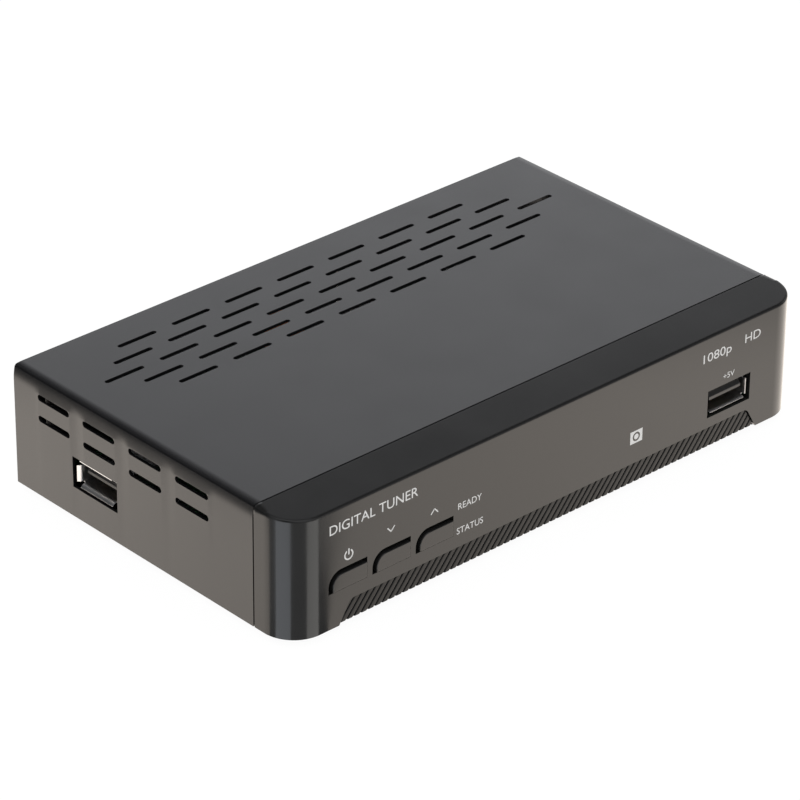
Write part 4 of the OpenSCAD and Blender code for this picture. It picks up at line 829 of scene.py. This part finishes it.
combine(screw, rod("thread", thread_r, (0, 0, -thread_l), (0, 0, 0.2 * mm), 24), "UNION")
smooth(screw, 30)
black_screw = surface("black_screw", (0.02, 0.02, 0.02), (0.045, 0.045, 0.045),
                      0.3, 0.45, 2500, 0.01, metal=0.6)
slim, flat = 0.78, 0.6
to_rear = Matrix.Rotation(-math.pi / 2, 4, "X") @ Matrix.Diagonal((slim, slim, flat, 1))
to_floor = Matrix.Rotation(math.pi, 4, "X")
tray_screw_y = 39.6 * mm
screw_places = (("cover_screws", (-screw_x, rear, screw_z), to_rear),
                ("cover_screws", (screw_x, rear, screw_z), to_rear),
                ("chassis_screws", (-tongue_x, tongue_y, under + head_h), to_floor),
                ("chassis_screws", (tongue_x, tongue_y, under + head_h), to_floor),
                ("chassis_screws", (-screw_x, tray_screw_y, under), to_floor),
                ("chassis_screws", (screw_x, tray_screw_y, under), to_floor))
for number, (node, place, turn) in enumerate(screw_places):
    copy = twin(screw, "screw_%d" % (number + 1), Matrix.Translation(place) @ turn)
    fit(copy, black_screw, "black_screw", node)
bpy.data.objects.remove(screw, do_unlink=True)

# Studio
# A pale floor that runs out to white, an even soft light, and large soft glows for the reflections.
# Reflections see the floor a little warm, and five cards on it show as upright bands on the left corner.


def glow(tree, kind, colour, strength):
    """A node that gives off light of this colour."""
    node = tree.nodes.new(kind)
    node.inputs["Color"].default_value = (*colour, 1)
    node.inputs["Strength"].default_value = strength
    return node


def mix(tree, factor, first, second):
    """A shader that goes from the first to the second as the factor rises."""
    node = tree.nodes.new("ShaderNodeMixShader")
    if isinstance(factor, float):
        node.inputs[0].default_value = factor
    else:
        tree.links.new(factor, node.inputs[0])
    tree.links.new(first.outputs[0], node.inputs[1])
    tree.links.new(second.outputs[0], node.inputs[2])
    return node


def compare(tree, operation, place, other):
    """A distance, dot product or product of a place and a fixed vector."""
    node = tree.nodes.new("ShaderNodeVectorMath")
    node.operation = operation
    node.inputs[1].default_value = other
    tree.links.new(place, node.inputs[0])
    return node.outputs["Vector" if operation == "MULTIPLY" else "Value"]


def fade(tree, value, start, stop, low, high, kind="SMOOTHSTEP"):
    """A value that goes from low to high while another goes from start to stop."""
    node = tree.nodes.new("ShaderNodeMapRange")
    node.interpolation_type = kind
    for name, number in (("From Min", start), ("From Max", stop), ("To Min", low), ("To Max", high)):
        node.inputs[name].default_value = number
    tree.links.new(value, node.inputs["Value"])
    return node.outputs["Result"]


def reckon(tree, operation, first, second):
    """The sum or product of two values."""
    node = tree.nodes.new("ShaderNodeMath")
    node.operation = operation
    tree.links.new(first, node.inputs[0])
    tree.links.new(second, node.inputs[1])
    return node.outputs[0]


white = (1, 1, 1)
bpy.ops.mesh.primitive_plane_add(size=12)
floor = bpy.context.active_object
floor.name = "studio_floor"
material = bpy.data.materials.new("studio_floor")
material.use_nodes = True
tree = material.node_tree
tree.nodes.remove(tree.nodes["Principled BSDF"])
matt = tree.nodes.new("ShaderNodeBsdfDiffuse")
matt.inputs["Color"].default_value = (0.85, 0.85, 0.85, 1)
rays = tree.nodes.new("ShaderNodeLightPath")
seen = mix(tree, 0.9, matt, glow(tree, "ShaderNodeEmission", white, 1.06))
# In reflections the floor is brighter away from the left corner, and dark at the left and far out,
# where the distance counts in half widths and half depths of the case.
place = tree.nodes.new("ShaderNodeTexCoord").outputs["Object"]
from_corner = compare(tree, "DISTANCE", place, (bezel_low.x, front, 0))
rise = fade(tree, from_corner, 0, 150 * mm, 1.75, 2.35, "LINEAR")
shrunk = compare(tree, "MULTIPLY", place, (1 / bezel_high.x, -1 / front, 0))
far_out = fade(tree, compare(tree, "DISTANCE", shrunk, (0, 0, 0)), 1.7, 3.6, 1, 0.08)
across = compare(tree, "DOT_PRODUCT", place, (1, 0, 0))
left_end = fade(tree, across, bezel_low.x - 60 * mm, bezel_low.x - 40 * mm, 0.1, 1)
warm = glow(tree, "ShaderNodeEmission", (1, 0.91, 0.82), 2)
level = reckon(tree, "MULTIPLY", rise, reckon(tree, "MULTIPLY", far_out, left_end))
tree.links.new(level, warm.inputs["Strength"])
mirrored = mix(tree, 0.85, matt, warm)
surround = mix(tree, rays.outputs["Is Glossy Ray"], matt, mirrored)
final = mix(tree, rays.outputs["Is Camera Ray"], surround, seen)
faces = tree.nodes.new("ShaderNodeNewGeometry")
one_sided = mix(tree, faces.outputs["Backfacing"], final, tree.nodes.new("ShaderNodeBsdfTransparent"))
tree.links.new(one_sided.outputs[0], tree.nodes["Material Output"].inputs["Surface"])
floor.visible_diffuse = False
floor.data.materials.append(material)

world = bpy.data.worlds.new("studio")
bpy.context.scene.world = world
world.use_nodes = True
tree = world.node_tree
tree.nodes.remove(tree.nodes["Background"])
rays = tree.nodes.new("ShaderNodeLightPath")
# Reflections see soft glows: the strongest low behind on the right, others in front, overhead, behind and
# at both sides. Each has its direction, how near its rim and core lie to that, and its strength there.
toward = tree.nodes.new("ShaderNodeTexCoord").outputs["Generated"]
glows = None
for way, rim, core, low, high in (
        ((0.665, 0.714, 0.208), 0.88, 0.985, 0.03, 1.32),
        ((0, -0.95, 0.312), 0.5, 0.97, 0, 0.6),
        ((0, 0, 1), 0.82, 0.96, 0, 0.9),
        ((0, 0.94, 0.342), 0.88, 0.985, 0, 0.6),
        ((-0.94, 0, 0.342), 0.88, 0.985, 0, 0.6),
        ((0.94, 0, 0.342), 0.88, 0.985, 0, 0.6)):
    near = fade(tree, compare(tree, "DOT_PRODUCT", toward, way), rim, core, low, high)
    glows = near if glows is None else reckon(tree, "ADD", glows, near)
mirrored = glow(tree, "ShaderNodeBackground", (0.96, 0.97, 1), 1)
tree.links.new(glows, mirrored.inputs["Strength"])
even = glow(tree, "ShaderNodeBackground", white, 0.75)
surround = mix(tree, rays.outputs["Is Glossy Ray"], even, mirrored)
final = mix(tree, rays.outputs["Is Camera Ray"], surround, glow(tree, "ShaderNodeBackground", white, 1))
tree.links.new(final.outputs[0], tree.nodes["World Output"].inputs["Surface"])

# A square soft box above on the left, turned to the object.
lamp_place = Vector((-0.5, -0.6, 1.6))
bpy.ops.object.light_add(type="AREA", location=lamp_place)
lamp = bpy.context.active_object
lamp.name = "soft_top"
lamp.data.size = 1.4
lamp.data.energy = 3
lamp.rotation_euler = (-lamp_place).to_track_quat("-Z", "Y").to_euler()
lamp.visible_camera = False
lamp.visible_glossy = False
card_reach, to_camera = 100 * mm, 227.3


def level_way(degrees):
    """A level direction, in degrees round from the right."""
    return Vector((math.cos(math.radians(degrees)), math.sin(math.radians(degrees)), 0))


def card(name, start, stop, colour, level, past=0):
    """A piece of floor that the camera sees as a band on the left corner, between two of its angles.

    The band may run on past the corner, over the first part of the flat face."""
    bpy.ops.object.select_all(action="DESELECT")
    bpy.ops.mesh.primitive_plane_add(size=1)
    piece = bpy.context.active_object
    piece.name = name
    centre = Vector((bezel_low.x + corner_r, front + corner_r, 0.2 * mm))
    spread = ((start, 0, 0), (stop, past, 0), (start, 0, card_reach), (stop, past, card_reach))
    for corner, (angle, run, reach) in zip(piece.data.vertices, spread):
        facing = 180 + angle
        corner.co = centre + corner_r * level_way(facing) + Vector((run, 0, 0))
        corner.co += reach * level_way(2 * facing - to_camera)
    paper = bpy.data.materials.new(name)
    paper.use_nodes = True
    tree = paper.node_tree
    tree.nodes.remove(tree.nodes["Principled BSDF"])
    shade = glow(tree, "ShaderNodeEmission", colour, level)
    tree.links.new(shade.outputs[0], tree.nodes["Material Output"].inputs["Surface"])
    piece.data.materials.append(paper)
    piece.visible_camera = False
    piece.visible_diffuse = False
    piece.visible_shadow = False


card("card_side", 10, 20, white, 0.42)
card("card_cool", 20, 43.5, (0.9, 0.94, 1), 2.03)
card("card_corner", 43.5, 67.5, white, 0.45)
card("card_pale", 67.5, 87, (1, 0.985, 0.95), 1.88)
card("card_front", 87, 90, white, 0.2, 2.4 * mm)

# Camera
# A long lens at about a metre, from the front left and above.
# It is placed so that the box's edges fall where they do in the photo.
azimuth = math.radians(-42.728)
elevation = math.radians(29.695)
roll = math.radians(0.537)
aim = Vector((-3.62, -3.23, 15.02)) * mm
distance = 1.0709
outward = math.cos(elevation)
back = Vector((math.sin(azimuth) * outward, -math.cos(azimuth) * outward, math.sin(elevation)))
right = Vector((math.cos(azimuth), math.sin(azimuth), 0))
up = back.cross(right)
right, up = right * math.cos(roll) + up * math.sin(roll), up * math.cos(roll) - right * math.sin(roll)
bpy.ops.object.camera_add()
camera = bpy.context.active_object
turn = Matrix((right, up, back)).transposed().to_4x4()
camera.matrix_world = Matrix.Translation(aim + back * distance) @ turn
camera.data.sensor_width = 36
camera.data.lens = 197.4
camera.data.clip_end = 50
bpy.context.scene.camera = camera
bpy.context.scene.view_settings.view_transform = "Standard"

# Last update
# The view layer is brought up to date.
bpy.context.view_layer.update()
